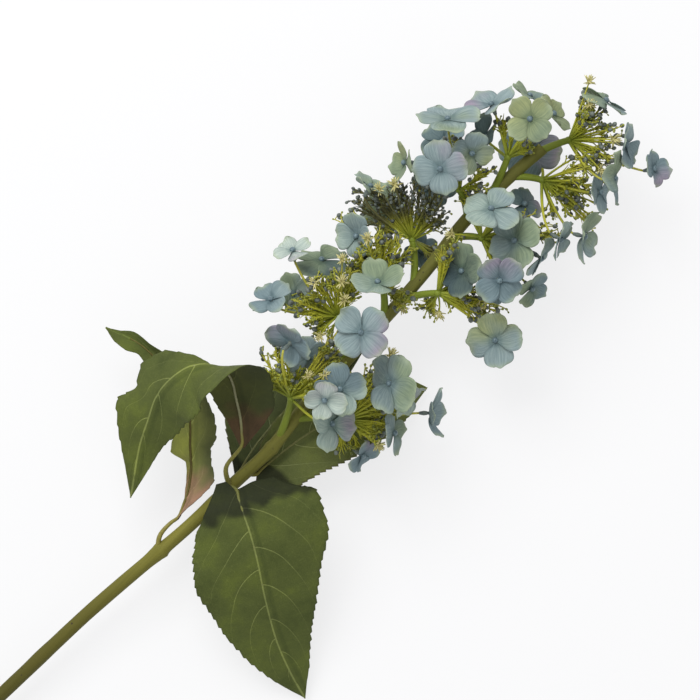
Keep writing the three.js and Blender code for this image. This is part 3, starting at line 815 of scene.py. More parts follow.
def blade_bmesh(leaf, rib, sections, random):
    """The blade: a grid bent row by row along the rib, with teeth, two sides and its tints."""
    halves = {}
    for side, key in ((-1, "left"), (1, "right")):
        depths = [TOOTH_DEPTH * random.uniform(0.6, 1.3) for _ in range(LEAF_TEETH)]
        halves[side] = half_widths(leaf[key]), depths
    bm = bmesh.new()
    bm.loops.layers.uv.new("UVMap")
    tint = bm.verts.layers.float_color.new("tint")
    below = bm.verts.layers.float_color.new("tint_below")
    across_mm = bm.verts.layers.float.new("across_mm")
    bmesh.ops.create_grid(bm, x_segments=LEAF_COLUMNS, y_segments=LEAF_ROWS, size=1, calc_uvs=True)
    for vert in bm.verts:
        u, v = vert.co.x, (vert.co.y + 1) / 2
        row = round(v * LEAF_ROWS)
        point, sideways, up = sections[row]
        side = 1 if u >= 0 else -1
        widths, depths = halves[side]
        saw = tooth(v, depths) * max(0, (abs(u) - 0.7) / 0.3) * min(1, (widths[row] / 20) ** 2)
        out = abs(u) * widths[row] + saw
        rise = out * math.tan(math.radians(leaf["fold"])) + leaf_relief(u, v, rib.length, leaf["upper"])
        back = leaf["lobes"][side > 0] * smooth_step(2 * abs(u)) * max(0, 1 - v / 0.12) ** 2
        vert.co = point + sideways * side * out + up * rise + sideways.cross(up) * back
        vert[across_mm] = side * out
        vert[tint], vert[below] = leaf_tints(leaf, u, v, vert.co)
    front = thicken(bm, LEAF_THICKNESS)
    under = leaf["upper"] < 0
    for face in bm.faces:
        face.material_index = int((face in front) == under)
    for vert in {vert for face in bm.faces if face.material_index for vert in face.verts}:
        vert[tint] = vert[below]
    return bm


print("a blade is", LEAF_THICKNESS, "mm thick")

# %% Leaves
PETIOLE_RADIUS = 1.9
PETIOLE_STEPS = 16
MIDRIB_RADIUS = 0.8
MIDRIB_STEP = 6                 # rows of the grid from one point of the midrib to the next


def leaf_stalk(leaf, rib, sections):
    """The petiole, which thins out along the underside of the blade as its midrib."""
    petiole = Path([*leaf["rib"][:leaf["petiole"] + 1], rib.at(0.04)[0]])
    shares = [i / PETIOLE_STEPS for i in range(PETIOLE_STEPS + 1)]
    points = [petiole.at(share)[0] for share in shares]
    radii = [PETIOLE_RADIUS * (1 - 0.5 * share) for share in shares]
    for row in range(round(0.06 * LEAF_ROWS), round(0.92 * LEAF_ROWS), MIDRIB_STEP):
        point, _, up = sections[row]
        share = row / LEAF_ROWS
        points.append(point - up * leaf["upper"] * (LEAF_THICKNESS + 0.2 * share))
        radii.append(0.92 * (1 - share) * MIDRIB_RADIUS + 0.25)
    return rods([(points, radii)], resolution=2)


def leaf_bmesh(name):
    """One leaf: its blade, and its petiole running on as the midrib."""
    leaf = LEAVES[name]
    rib = Path(leaf["rib"][leaf["petiole"]:])
    sections = leaf_sections(leaf, rib)
    bm = blade_bmesh(leaf, rib, sections, Random(name))
    blade_count = len(bm.verts)
    with_mesh(bm, leaf_stalk(leaf, rib, sections), material=2)
    tint = bm.verts.layers.float_color["tint"]
    foot = Vector(leaf["rib"][0])
    petiole_length = (Vector(leaf["rib"][leaf["petiole"]]) - foot).length
    petiole_tint, midrib_tint = (Vector(colour) for colour in leaf["stalk"])
    bm.verts.ensure_lookup_table()
    for vert in bm.verts[blade_count:]:
        share = smooth_step(((vert.co - foot).length - petiole_length) / 20)
        vert[tint] = petiole_tint.lerp(midrib_tint, share)
    return bm


for name in LEAVES:
    made = piece(f"{name}_blade", leaf_bmesh(name), leaf_finishes, "leaf", name)
    print(made.name, len(made.data.polygons), "faces")

# %% [markdown]
# ## Florets
#
# Each floret has four broad petals round a small bead, and a narrow calyx behind. A petal could be a
# flat cut-out, but real ones are cupped and wavy. Each petal here is a grid whose columns fan out from
# the eye, so that its fine streaks run the way that the printed veins do. The tint is stored at the
# vertices: it runs from one tone to another across the whole floret, in a direction of the picture.

# %% Petal tones and finish
TONES = {
    "blue": shade(144, 160, 160), "slate": shade(123, 141, 145), "pale": shade(160, 175, 165),
    "green": shade(136, 150, 122), "leaf": shade(156, 163, 117), "lilac": shade(155, 142, 158),
    "dark": shade(76, 92, 95), "dusk": shade(104, 121, 122), "white": shade(186, 197, 186),
}


def petal_material():
    """Cloth with streaks fanning from the eye, a paler rim, and painted shade round the eye and at the edge.
    """
    material, tree, shader = new_material("petal_cloth", 0.82, 0.18)
    uv, place = coordinates(tree)
    far_off = node(tree, "VectorMath", place, (9, 9, 9), operation="MULTIPLY").outputs[0]
    moved = node(tree, "VectorMath", uv, far_off, operation="ADD").outputs[0]
    streak = placed(tree, fibres, moved, 24, 1.6)[0]
    weave = placed(tree, woven_cloth, place, 1100)[0]
    out = node(tree, "SeparateXYZ", uv).outputs["Y"]
    # painted shade in the cup round the eye
    centre = maths(tree, "ADD", spread(tree, out, 0.05, 0.5, 0.55, 0), spread(tree, out, 0.12, 0.24, 0.6, 0))
    rim = spread(tree, maths(tree, "MULTIPLY_ADD", streak, 0.15, out), 0.68, 1.06, 0, 0.6)
    # a thin painted shade along the petal's far edge
    edge = spread(tree, out, 0.95, 1.0, 0, 0.45)
    colour = mixed(tree, rim, stored(tree, "tint", "Color"), shade(184, 194, 160))
    colour = dyed(tree, maths(tree, "MULTIPLY", streak, 0.72), colour, (0.56, 0.62, 0.66))
    colour = dyed(tree, maths(tree, "MULTIPLY", weave, 0.3), colour, (0.7, 0.74, 0.76))
    colour = dyed(tree, maths(tree, "MAXIMUM", centre, edge), colour, (0.6, 0.66, 0.68))
    tree.links.new(colour, shader.inputs["Base Color"])
    shader.inputs["Sheen Weight"].default_value = 0.05
    height = maths(tree, "MULTIPLY_ADD", streak, 0.7, maths(tree, "MULTIPLY", weave, 0.3))
    bump(tree, shader, height, 0.5, 0.0003)
    return material


petal_cloth = petal_material()
print("petal tones:", ", ".join(TONES))

# %% Petal shape
PETAL_COLUMNS = 12
PETAL_ROWS = 12
PETAL_THICKNESS = 0.35
PETAL_FLAT = 3.8            # the petals stay level this far from the eye


def petal_half_width(v):
    """Half width of a petal at share v of its reach, as a share of the reach: an egg on a stalk."""
    opening = math.sin(0.5 * math.pi * min(1, v / 0.6)) ** 1.3
    closing = math.sqrt(max(0, 1 - max(0, (v - 0.6) / 0.415) ** 3))
    return 0.06 + 0.46 * opening * closing


def petal_mesh(reach, cup, height, random):
    """One petal of a floret that faces up, along +X, with both its sides."""
    reach *= random.uniform(0.92, 1.06)
    width = random.uniform(0.92, 1.1)
    cup += random.choice((-4, 0, 4, 8, 20)) if cup < 20 else 0     # a flat petal may stand up a little
    trough = random.uniform(-0.12, 0.2)      # across its middle
    curl = random.uniform(-0.6, 0.45)        # of its outer half
    wave = random.uniform(0, 2 * math.pi)    # where the waves of its rim start
    lean = random.uniform(-0.12, 0.12)       # to one side
    bm = bmesh.new()
    bm.loops.layers.uv.new("UVMap")
    bmesh.ops.create_grid(bm, x_segments=PETAL_COLUMNS, y_segments=PETAL_ROWS, size=1, calc_uvs=True)
    for vert in bm.verts:
        u, v = vert.co.x, (vert.co.y + 1) / 2
        v = 1 - (1 - v) ** 1.4
        out = reach * v * (1 - 0.05 * u * u * v * v + 0.025 * v * math.sin(4 * u + wave))
        lift = max(0, out - PETAL_FLAT) * math.tan(math.radians(cup))
        lift += reach * (trough * u * u * math.sin(math.pi * v) + curl * max(0, v - 0.5) ** 2)
        lift += 0.05 * reach * v * v * math.sin(3 * u + wave) + lean * reach * u * v * v
        vert.co = (out, -u * reach * petal_half_width(v) * width, height + lift)
    thicken(bm, PETAL_THICKNESS)
    return mesh_of("petal", bm)


print("one petal:", PETAL_COLUMNS * PETAL_ROWS, "faces a side")

# %% [markdown]
# ## Eye and calyx
#
# A closed bud sits in the middle of each floret like a bead, and behind the petals a calyx narrows
# into the stalk. Both could be pressed out of a ball. A flattened ball does for the bead, but the calyx
# is round about its stalk and has a waist, so it is spun from its profile, as on a lathe.

# %% Eye and calyx
EYE_RADIUS = 2.0
EYE_FLATTENED = 0.85
EYE_HEIGHT = 1.0
CALYX_LENGTH = 7.5
CALYX_PROFILE = [           # radius and height, from the stalk to the petals
    (0.0, -CALYX_LENGTH), (1.0, -CALYX_LENGTH), (1.25, -6.4), (1.6, -4.4), (1.45, -3.0), (1.0, -1.6),
    (1.3, -0.6), (2.2, 0.1),
]


def calyx_mesh():
    """The narrow calyx behind the petals, turned from its profile."""
    bm = bmesh.new()
    profile = [bm.verts.new((radius, 0, height)) for radius, height in CALYX_PROFILE]
    edges = [bm.edges.new(pair) for pair in zip(profile, profile[1:])]
    bmesh.ops.spin(bm, geom=profile + edges, cent=(0, 0, 0), axis=(0, 0, 1), angle=2 * math.pi, steps=10,
                   use_merge=True)
    bmesh.ops.remove_doubles(bm, verts=bm.verts[:], dist=0.001)
    bmesh.ops.holes_fill(bm, edges=bm.edges[:], sides=12)
    bmesh.ops.recalc_face_normals(bm, faces=bm.faces[:])
    return mesh_of("calyx", bm)


def bead_mesh():
    """The eye: a small closed bud, slightly flattened."""
    bm = bmesh.new()
    bmesh.ops.create_uvsphere(bm, u_segments=12, v_segments=8, radius=EYE_RADIUS)
    flattened = Matrix.Translation((0, 0, EYE_HEIGHT)) @ Matrix.Scale(EYE_FLATTENED, 4, (0, 0, 1))
    bmesh.ops.transform(bm, matrix=flattened, verts=bm.verts[:])
    return mesh_of("bead", bm)


def waxy_material(name, dark, light, roughness, scale):
    """A smooth skin whose tone drifts from bud to bud."""
    material, tree, shader = new_material(name, roughness, 0.5)
    _, place = coordinates(tree)
    tone = ramp(tree, clouds(tree, place, scale, 3, 0.6), (0.35, dark), (0.65, light))
    tree.links.new(tone, shader.inputs["Base Color"])
    bump(tree, shader, clouds(tree, place, 1800, 2), 0.3, 0.0003)
    return material


bead, calyx = bead_mesh(), calyx_mesh()
eye_blue = waxy_material("eye_bead", shade(70, 90, 98), shade(110, 130, 136), 0.4, 500)
calyx_blue = waxy_material("calyx_blue", shade(72, 84, 88), shade(112, 122, 112), 0.6, 300)
print("bead:", len(bead.polygons), "faces, calyx:", len(calyx.polygons), "faces")

# %% [markdown]
# ## Where sprays and florets stand
#
# Eleven sprays leave the stem and fork. A rule could spread them evenly round it, but a real head has
# gaps, crowded places and florets that look every way. So each spray is written down with its fork, its
# tufts of buds and its florets, in the same numbers that the plain model was drawn with.

# %% Sprays and their florets
# Each spray: where it leaves the stem, its fork, its share of dark buds, its bud tufts, tufts that only
# the dressed model has, its star flowers and its florets. A tuft is its middle, its radius and its
# number of plain rays. A floret is its eye, facing bearing, tilt from upright, spin, reach and cup, then
# its two tones and the picture direction from the first to the second. Rooted florets are part of their
# spray in the plain model. Fine is how many finer rays a tuft gets and how many needles a ray gets,
# where this isn't the usual number.
SPRAYS = {
    "low_left": dict(
        foot=(386, -8, 40), fork=(411, 5, 62), dark=0.14,
        tufts=[(413, 26, 66, 12, 3), (419, 15, 74, 8, 1), (438, -4, 60, 10, 2), (422, -3, 70, 7, 1)],
        more_tufts=[(449, 8, 64, 10, 2), (430, 24, 62, 12, 2), (462, 14, 68, 9, 1)],
        stars=[(437, 0, 84), (429, 7, 80), (433, -9, 78)],
        florets=[((436, 30, 90), 0, 125, 60, 17, -8, "slate", "lilac", 100),
                 ((438, 16, 66), 225, 30, 20, 15, -6, "blue", "lilac", 300),
                 ((438, -13, 84), 205, 14, 32, 17, -6, "slate", "pale", 290),
                 ((426, -11, 99), 225, 24, 80, 14, 6, "white", "lilac", 90),
                 ((418, -25, 75), 315, 46, 80, 18, -6, "pale", "lilac", 0)],
    ),
    "low_right": dict(
        foot=(402, -6, 41), fork=(426, -30, 56), dark=0.12,
        tufts=[(449, -37, 60, 12, 2), (443, -52, 50, 12, 2), (419, -42, 44, 9, 2), (428, -55, 40, 8, 1),
               (458, -21, 52, 8, 1)],
        more_tufts=[(453, -39, 64, 10, 2), (434, -46, 54, 10, 2)],
        stars=[(429, -56, 56), (454, -32, 70), (476, -21, 72)],
        florets=[((463, -33, 88), 135, 42, 60, 21, -14, "blue", "green", 0),
                 ((442, -58, 56), 315, 70, 10, 15, -8, "blue", "green", 0),
                 ((463, -49, 72), 270, 72, 60, 14, 8, "pale", "lilac", 0),
                 ((468, -66, 50), 315, 78, 0, 16, 26, "blue", "slate", 270),
                 ((417, -54, 46), 280, 66, 50, 13, 8, "slate", "lilac", 90)],
    ),
    "mid_left": dict(
        foot=(450, -4, 45), fork=(470, 21, 64), dark=0.16,
        tufts=[(475, 46, 76, 10, 2), (487, 34, 80, 10, 2), (500, 36, 66, 8, 1), (457, 38, 72, 12, 2),
               (455, 24, 60, 10, 2)],
        more_tufts=[(466, 38, 66, 10, 2), (492, 26, 62, 10, 2)],
        stars=[(474, 46, 84), (487, 34, 90), (480, 25, 88), (497, 44, 92), (453, 20, 82)],
        florets=[((473, 3, 108), 135, 12, 42, 19, -5, "blue", "lilac", 330),
                 ((479, 71, 80), 55, 58, 20, 13, 10, "white", "lilac", 270),
                 ((488, 54, 62), 40, 58, 45, 19, -10, "green", "dark", 300),
                 ((447, 59, 66), 75, 48, 10, 15, 10, "slate", "blue", 0),
                 ((460, 52, 46), 105, 28, 45, 13, 10, "green", "pale", 0)],
    ),
    "mid_right": dict(
        foot=(506, 0, 51), fork=(526, -14, 64), dark=0.24,
        tufts=[(536, -30, 60, 12, 2), (539, -44, 52, 10, 2), (517, -18, 50, 8, 1), (555, -1, 66, 7, 1)],
        more_tufts=[(542, -37, 60, 10, 2), (540, -22, 54, 9, 2), (547, 0, 78, 8, 1)],
        stars=[(539, -38, 64), (518, -24, 50)],
        florets=[((547, -15, 74), 135, 34, 10, 18, 8, "dark", "green", 30),
                 ((531, -62, 62), 155, 16, 80, 19, -6, "blue", "leaf", 100)],
    ),
    "upper_left": dict(
        foot=(490, -1, 49), fork=(505, 16, 62), dark=0.2,
        tufts=[(519, 58, 66, 10, 2), (524, 32, 72, 12, 2), (530, 38, 54, 10, 2), (507, 33, 72, 8, 1)],
        more_tufts=[(514, 41, 76, 10, 2), (522, 20, 62, 10, 2), (509, 2, 76, 9, 2)],
        stars=[(518, 42, 90), (503, -4, 70)],
        florets=[((515, 49, 72), 155, 32, 70, 15, 6, "blue", "pale", 180),
                 ((503, 18, 98), 55, 42, 88, 17, 24, "green", "pale", 250)],
    ),
    "dark": dict(
        foot=(518, 0, 52), fork=(539, 22, 56), dark=0.95,
        tufts=[(533, 59, 66, 14, 3), (549, 57, 72, 12, 2), (556, 41, 72, 14, 3), (565, 25, 70, 12, 2),
               (555, 20, 58, 10, 2), (541, 1, 34, 10, 2)],
        more_tufts=[(566, 34, 70, 10, 1)],
        stars=[(546, 59, 86), (555, 54, 86)],
        florets=[((570, 60, 82), 135, 72, 0, 14, 14, "green", "leaf", 90),
                 ((576, 37, 53), 205, 30, 10, 17, -8, "dusk", "slate", 200),
                 ((543, 65, 80), 15, 72, 60, 13, 14, "green", "pale", 90),
                 ((542, 47, 50), 105, 16, 40, 17, 6, "green", "lilac", 0)],
        rooted=[((539, 13, 26), 345, 26, 80, 13, -8, "dusk", "slate", 0)],
    ),
    "centre": dict(
        foot=(558, 5, 54), fork=(571, -9, 70), dark=0.3,
        tufts=[(595, -21, 60, 10, 2), (568, -28, 70, 8, 1), (602, -37, 52, 10, 2), (585, 16, 66, 8, 1)],
        more_tufts=[(588, -8, 66, 9, 1), (577, -30, 58, 9, 1)],
        stars=[(559, 6, 78)],
        florets=[((587, 0, 100), 45, 33, 57, 19, -8, "pale", "blue", 20),
                 ((584, -25, 88), 125, 28, 30, 19, -6, "green", "blue", 180),
                 ((559, -36, 92), 225, 14, 40, 17, -5, "slate", "lilac", 80),
                 ((589, -45, 66), 280, 78, 55, 15, -6, "pale", "blue", 270)],
        rooted=[((607, -13, 45), 355, 40, 30, 13, 8, "dusk", "lilac", 0),
                ((572, -55, 48), 270, 56, 20, 13, 6, "green", "slate", 0),
                ((560, -40, 8.5), 225, 20, 60, 15, -6, "dusk", "slate", 0)],
    ),
    "side": dict(
        foot=(574, 6, 54), fork=(583, 23, 66), dark=0.4,
        tufts=[(600, 42, 60, 8, 1), (597, 20, 70, 8, 1)],
        florets=[((608, 60, 95), 50, 62, 0, 21, 4, "blue", "green", 270),
                 ((582, 41, 106), 175, 14, 60, 18, -6, "blue", "lilac", 45),
                 ((604, 34, 92), 255, 30, 45, 15, 8, "blue", "leaf", 300)],
        rooted=[((601, 54, 8), 55, 20, 30, 15, -6, "dusk", "slate", 0)],
    ),
    "fork": dict(
        foot=(594, 6, 55), fork=(620, 16, 64), dark=0.4,
        tufts=[(633, 10, 60, 8, 1), (633, 32, 66, 8, 1)],
        florets=[((636, 47, 76), 67, 64, 15, 18, 18, "blue", "lilac", 180),
                 ((645, 23, 102), 155, 15, 18, 16, 6, "leaf", "green", 300),
                 ((658, 34, 63), 15, 76, 60, 13, 10, "green", "slate", 300),
                 ((659, 15, 82), 350, 68, 10, 14, 14, "leaf", "green", 270),
                 ((619, 37, 62), 275, 58, 45, 15, -12, "dusk", "slate", 0)],
    ),
    "tip_low": dict(
        foot=(613, 6, 55), fork=(626, -10, 54), dark=0.15, fine=(2, 5),
        tufts=[(641, -26, 50, 14, 3), (627, -34, 46, 12, 2), (633, -48, 44, 10, 2), (650, -22, 72, 10, 2)],
        more_tufts=[(629, -24, 54, 11, 3), (640, -36, 54, 11, 3)],
        florets=[((619, -55, 60), 300, 70, 75, 17, 14, "green", "blue", 270),
                 ((606, -45, 76), 285, 72, 60, 14, 8, "blue", "pale", 0),
                 ((646, -42, 68), 315, 58, 5, 15, -6, "blue", "slate", 0),
                 ((636, 10, 30), 95, 12, 30, 21, -8, "slate", "lilac", 0)],
    ),
    "tip": dict(
        foot=(638, 4, 56), fork=(656, -4, 60), dark=0.38, fine=(2, 5),
        tufts=[(685, 5, 60, 12, 2), (678, -13, 66, 13, 2), (667, -24, 60, 13, 2), (657, -33, 52, 11, 2),
               (674, 0, 76, 12, 2)],
        more_tufts=[(676, -6, 72, 10, 2), (662, -26, 66, 10, 2)],
        stars=[(690, 13, 80), (680, 2, 80), (675, -24, 78), (656, -32, 74)],
        florets=[((682, -56, 58), 325, 55, 80, 13, 6, "slate", "lilac", 300),
                 ((679, -32, 74), 305, 62, 70, 15, 8, "blue", "slate", 270),
                 ((657, -42, 88), 320, 76, 88, 17, -4, "green", "slate", 270),
                 ((690, -3, 70), 9, 74, 54, 17, -10, "green", "slate", 330)],
    ),
}

floret_counts = [len(spray["florets"] + spray.get("rooted", [])) for spray in SPRAYS.values()]
print("sprays:", len(SPRAYS), "florets:", sum(floret_counts))

# %% Florets
PETAL_LIFT = 0.55           # every other petal lies this much higher, over its neighbours
TONE_SPOTS = 10             # size of the drifts in tone
LILAC_LEAD, OTHER_LEAD = 0, 0.35    # how far the second tone has come at the eye: lilac only tinges


def floret_place(bearing, tilt, spin, eye):
    """Matrix that turns a floret from face up to its bearing, tilt and spin, and moves it to its eye."""
    turn = Matrix.Rotation(math.radians(bearing), 4, "Z") @ Matrix.Rotation(math.radians(tilt), 4, "Y")
    return Matrix.Translation(eye) @ turn @ Matrix.Rotation(math.radians(spin), 4, "Z")


def floret_bmesh(floret, random):
    """Four petals with their tints, the eye bead and the calyx, at their place."""
    eye, bearing, tilt, spin, reach, cup, first, second, towards = floret
    bm = bmesh.new()
    bm.loops.layers.uv.new("UVMap")
    tint = bm.verts.layers.float_color.new("tint")
    for i in range(4):
        turn = Matrix.Rotation(math.radians(90 * i + random.uniform(-4, 4)), 4, "Z")
        with_mesh(bm, petal_mesh(reach, cup, PETAL_LIFT * (i % 2), random), turn, material=0)
    place = floret_place(bearing, tilt, spin, eye)
    bmesh.ops.transform(bm, matrix=place, verts=bm.verts[:])
    direction = in_picture(towards)
    lead = LILAC_LEAD if second == "lilac" else OTHER_LEAD
    for vert in bm.verts:
        away = (vert.co - Vector(eye)).dot(direction) / reach
        share = smooth_step(lead + 0.75 * away + 0.45 * noise.noise(vert.co / TONE_SPOTS))
        vert[tint] = Vector(TONES[first]).lerp(Vector(TONES[second]), share)
    with_mesh(bm, bead, place, material=1)
    with_mesh(bm, calyx, place, material=2)
    return bm


faces = 0
for name, spray in SPRAYS.items():
    for i, floret in enumerate(spray["florets"] + spray.get("rooted", [])):
        rooted = i >= len(spray["florets"])
        plain = f"spray_{name}" if rooted else f"floret_{name}_{i + 1}"
        made = piece(f"petals_{name}_{i + 1}", floret_bmesh(floret, Random(f"{name}{i}")),
                     [petal_cloth, eye_blue, calyx_blue], "petal", plain)
        faces += len(made.data.polygons)
print("florets done:", faces, "faces in all")

# %% [markdown]
# ## Stalks that find their way
#
# Every floret hangs on its own stalk, which leaves the fork of its spray and bends into the calyx. A
# straight line would cut through petals. So each stalk tries bends in turn, the straightest first, and
# takes the first that keeps clear of the stem, the leaves and the florets. A search tree over the plain
# parts answers how near a point is to any of them.

# %% What a stalk keeps clear of
FORK_RADIUS = 3
LOWEST_STALK = 2            # no stalk comes nearer to the floor
STALK_ROOM = 1.5            # what a stalk needs free round its middle line


def obstacle_tree():
    """A search tree over stem, leaves and florets, in the drawing's millimetres."""
    corners, faces = [], []
    for name, plain in frame["nodes"].items():
        if name.startswith("spray"):
            continue
        start = len(corners)
        corners += [(vert.co - SHIFT) / MM for vert in plain.data.vertices]
        faces += [[start + i for i in face.vertices] for face in plain.data.polygons]
    return BVHTree.FromPolygons(corners, faces)


obstacles = obstacle_tree()


def clear(point, distance):
    """Whether nothing of the plain stem, leaves and florets is this near to a point."""
    return obstacles.find_nearest(point, distance)[0] is None


print("tree over", sum(not name.startswith("spray") for name in frame["nodes"]), "parts")

# %% Stalks
STALK_RADII = (1.1, 0.7)    # at both ends, as for every twig below
PEDUNCLE_RADII = (2.6, 2.1)
ROOTED_OVERLAP = 1          # how far a stalk grows into the calyx of a rooted floret
OUTS = [0, 7, -7, 14, -14, 21, -21, 28, -28, 35, -35]      # how far a stalk may swing to the side
UPS = [0, 7, -7, 14, -14, 21, -21, 28, -28]                # and up or down
LEADS = (16, 7)             # how long before the calyx it runs straight towards it
WAYS = sorted(((out, up, lead) for lead in LEADS for out in OUTS for up in UPS),
              key=lambda way: Vector(way).length)


def strand(points, radii):
    """A strand for rods: its points, and a radius at each of them that runs evenly between two."""
    start, end = radii
    return points, [start + (end - start) * i / (len(points) - 1) for i in range(len(points))]


def stalk(fork, floret, overlap=0):
    """A floret's stalk, from the fork to its calyx, on the straightest way that is clear."""
    place = floret_place(*floret[1:4], floret[0])
    axis = place.to_3x3() @ Vector((0, 0, 1))
    end = Vector(floret[0]) - axis * (CALYX_LENGTH - overlap)
    sideways = (end - fork).cross(axis).normalized()
    for out, up, lead in WAYS:
        bend = end - axis * lead
        swing = fork.lerp(bend, 0.5) + sideways * out + Vector((0, 0, up))
        start = fork + (swing - fork).normalized() * 0.7 * FORK_RADIUS
        points = interpolate_bezier(start, swing.lerp(start, 0.25), bend.lerp(swing, 0.4), end, 18)
        if min(p.z for p in points) > LOWEST_STALK and all(clear(p, STALK_ROOM) for p in points[1:-2]):
            break
    else:
        points = interpolate_bezier(fork, fork.lerp(end, 0.5), end - axis * LEADS[1], end, 18)
    return strand(points, STALK_RADII)


def peduncle(spray):
    """The thick stalk of a spray, from the stem's middle to the fork."""
    foot, fork = Vector(spray["foot"]), Vector(spray["fork"])
    bend = foot.lerp(fork, 0.5) + Vector((0.12 * (fork - foot).length, 0, 0))
    points = interpolate_bezier(foot, foot.lerp(bend, 2 / 3), fork.lerp(bend, 2 / 3), fork, 12)
    return strand(points, PEDUNCLE_RADII)


print("ways that a stalk may try:", len(WAYS))

# %% [markdown]
# ## Buds and star flowers
#
# Between the florets sit some three thousand closed buds, each about as big as a pinhead, and a few
# open flowers that are little more than a tuft of pale threads. That many fine models would be slow to
# draw. So one bud with a few dozen faces and one star serve for all, and a slow noise in their finish
# changes the tone from one to the next. The twigs read from the mesh how far from the fork they are,
# because they turn from green to yellow on the way out.

# %% Bud and star shapes
STAR_THREADS = 18
UPRIGHT_THREADS = 3
THREAD_TURN = 2.4           # radians from one thread to the next, so that no two lie above each other


def bud_mesh():
    """A plump closed bud, a little longer than wide, that sits on its stalk's end."""
    bm = bmesh.new()
    bmesh.ops.create_uvsphere(bm, u_segments=8, v_segments=6, radius=1)
    for vert in bm.verts:
        vert.co.z = vert.co.z * 1.15 + 0.12 * max(0, vert.co.z) ** 3
    return mesh_of("bud", bm)


def star_mesh(random):
    """A star flower: a small heart and slender pointed threads in a half dome."""
    bm = bmesh.new()
    bmesh.ops.create_icosphere(bm, subdivisions=1, radius=1.8)
    for i in range(STAR_THREADS):
        lean = math.radians(12 if i < UPRIGHT_THREADS else random.uniform(30, 95))
        turn = Matrix.Rotation(i * THREAD_TURN, 4, "Z") @ Matrix.Rotation(lean, 4, "Y")
        length = random.uniform(4.2, 6.0)
        new = bmesh.ops.create_cone(bm, cap_ends=True, segments=4, radius1=0.8, radius2=0.28, depth=length)
        bmesh.ops.transform(bm, matrix=turn @ Matrix.Translation((0, 0, length / 2)), verts=new["verts"])
    return mesh_of("star", bm)


bud = bud_mesh()
star = star_mesh(Random(5))
print("bud faces:", len(bud.polygons), "star faces:", len(star.polygons))

# %% Twig, bud and star finishes
TWIG_TONES = [(0.0, shade(118, 132, 40)), (0.45, shade(174, 174, 50)), (1.0, shade(184, 180, 72))]


def twig_material():
    """Green at the fork, yellower along the rays, dark on the sprays that have ripened."""
    material, tree, shader = new_material("twig_green", 0.6, 0.3)
    _, place = coordinates(tree)
    colour = ramp(tree, stored(tree, "from_fork"), *TWIG_TONES)
    drift = clouds(tree, place, 60, 3)
    colour = mixed(tree, spread(tree, drift, 0.45, 0.7, 0, 0.5), colour, shade(98, 108, 34))
    colour = mixed(tree, stored(tree, "ripe"), colour, shade(78, 78, 56))
    tree.links.new(colour, shader.inputs["Base Color"])
    bump(tree, shader, clouds(tree, place, 1400, 2), 0.35, 0.0003)
    return material


spray_finishes = [
    twig_material(),
    waxy_material("dark_bud", shade(62, 67, 62), shade(114, 122, 114), 0.5, 260),
    waxy_material("green_bud", shade(98, 108, 40), shade(148, 152, 52), 0.6, 260),
    waxy_material("star_cream", shade(166, 160, 98), shade(208, 201, 144), 0.75, 220),
]
TWIG, DARK_BUD, GREEN_BUD, STAR = range(4)      # where each finish is in that list
print("spray finishes:", [finish.name for finish in spray_finishes])

# %% [markdown]
# ## Bud tufts
#
# The buds sit in tufts on branching green rays. Modelling each tuft by hand would take days, and
# scattering buds at random looks like noise. Here each ray carries side shoots, each shoot a bud and
# perhaps a branch with one more, and bare needles fill the ray between them. All turn outwards from the
# fork, as they grow. A twig that would cut a petal is tried again another way, a little shorter.

# %% Rays and twigs
TWIG_TRIES = 8
SHORTER = 0.93              # each next try of a twig
LOWEST_TWIG = 3
BUD_ROOM = 2.2              # what a twig needs free at its end
TWIG_ROOM = 0.8             # and half way
LOWEST_RAY = 5
RAY_ROOM = 1.2

# Each kind of twig: the points of its carrier that it may leave from, its shortest and longest length,
# how far it strays from straight outwards, and its radii.
SHOOT = (range(5, 10), (3.5, 8), 0.8, (0.45, 0.35))
BRANCH = (range(2, 5), (2.5, 4.5), 1.0, (0.36, 0.32))
NEEDLE = (range(3, 8), (3, 8), 0.6, (0.45, 0.16))


def any_direction(random):
    """A direction by chance, every one as likely."""
    return Vector([random.gauss(0, 1) for _ in range(3)]).normalized()


def ray(fork, goal, random):
    """Points of a ray from the fork to a goal, slightly bent."""
    bend = fork.lerp(goal, 0.5) + any_direction(random) * 1.5
    return interpolate_bezier(fork, bend, bend.lerp(goal, 0.6), goal, 10)


def twig(carrier, kind, outward, random):
    """A twig that leaves its carrier and bends outwards, or None where none fits."""
    places, lengths, stray, radii = kind
    start = carrier[random.choice(places)]
    length = random.uniform(*lengths)
    for _ in range(TWIG_TRIES):
        aim = (outward + any_direction(random) * stray).normalized()
        end = start + aim * length
        if end.z > LOWEST_TWIG and clear(end, BUD_ROOM) and clear(start.lerp(end, 0.5), TWIG_ROOM):
            bend = start + (outward * 0.4 + aim * 0.6) * length * 0.45
            return strand(interpolate_bezier(start, bend, bend.lerp(end, 0.5), end, 6), radii)
        length *= SHORTER
    return None


print("a shoot is", SHOOT[1], "mm long, a branch", BRANCH[1], "mm and a needle", NEEDLE[1], "mm")

# %% Buds on their twigs
DARK_BUD_RADII = (1.15, 1.75)
GREEN_BUD_RADII = (0.5, 0.95)


def sit(points, size):
    """Matrix that sets a bud on the end of a twig."""
    direction = points[-1] - points[-2]
    turn = direction.to_track_quat("Z", "Y").to_matrix().to_4x4()
    return Matrix.Translation(points[-1]) @ turn @ Matrix.Scale(size, 4)


def with_bud(points, dark, random):
    """A bud on the end of a twig: its matrix and its finish. Crowded dark buds stay small."""
    finish, radii = (DARK_BUD, DARK_BUD_RADII) if random.random() < dark else (GREEN_BUD, GREEN_BUD_RADII)
    crowded = 1.2 - 0.6 * dark
    return sit(points, crowded * random.uniform(*radii)), finish


print("dark buds:", DARK_BUD_RADII, "mm in radius, green ones:", GREEN_BUD_RADII, "mm")

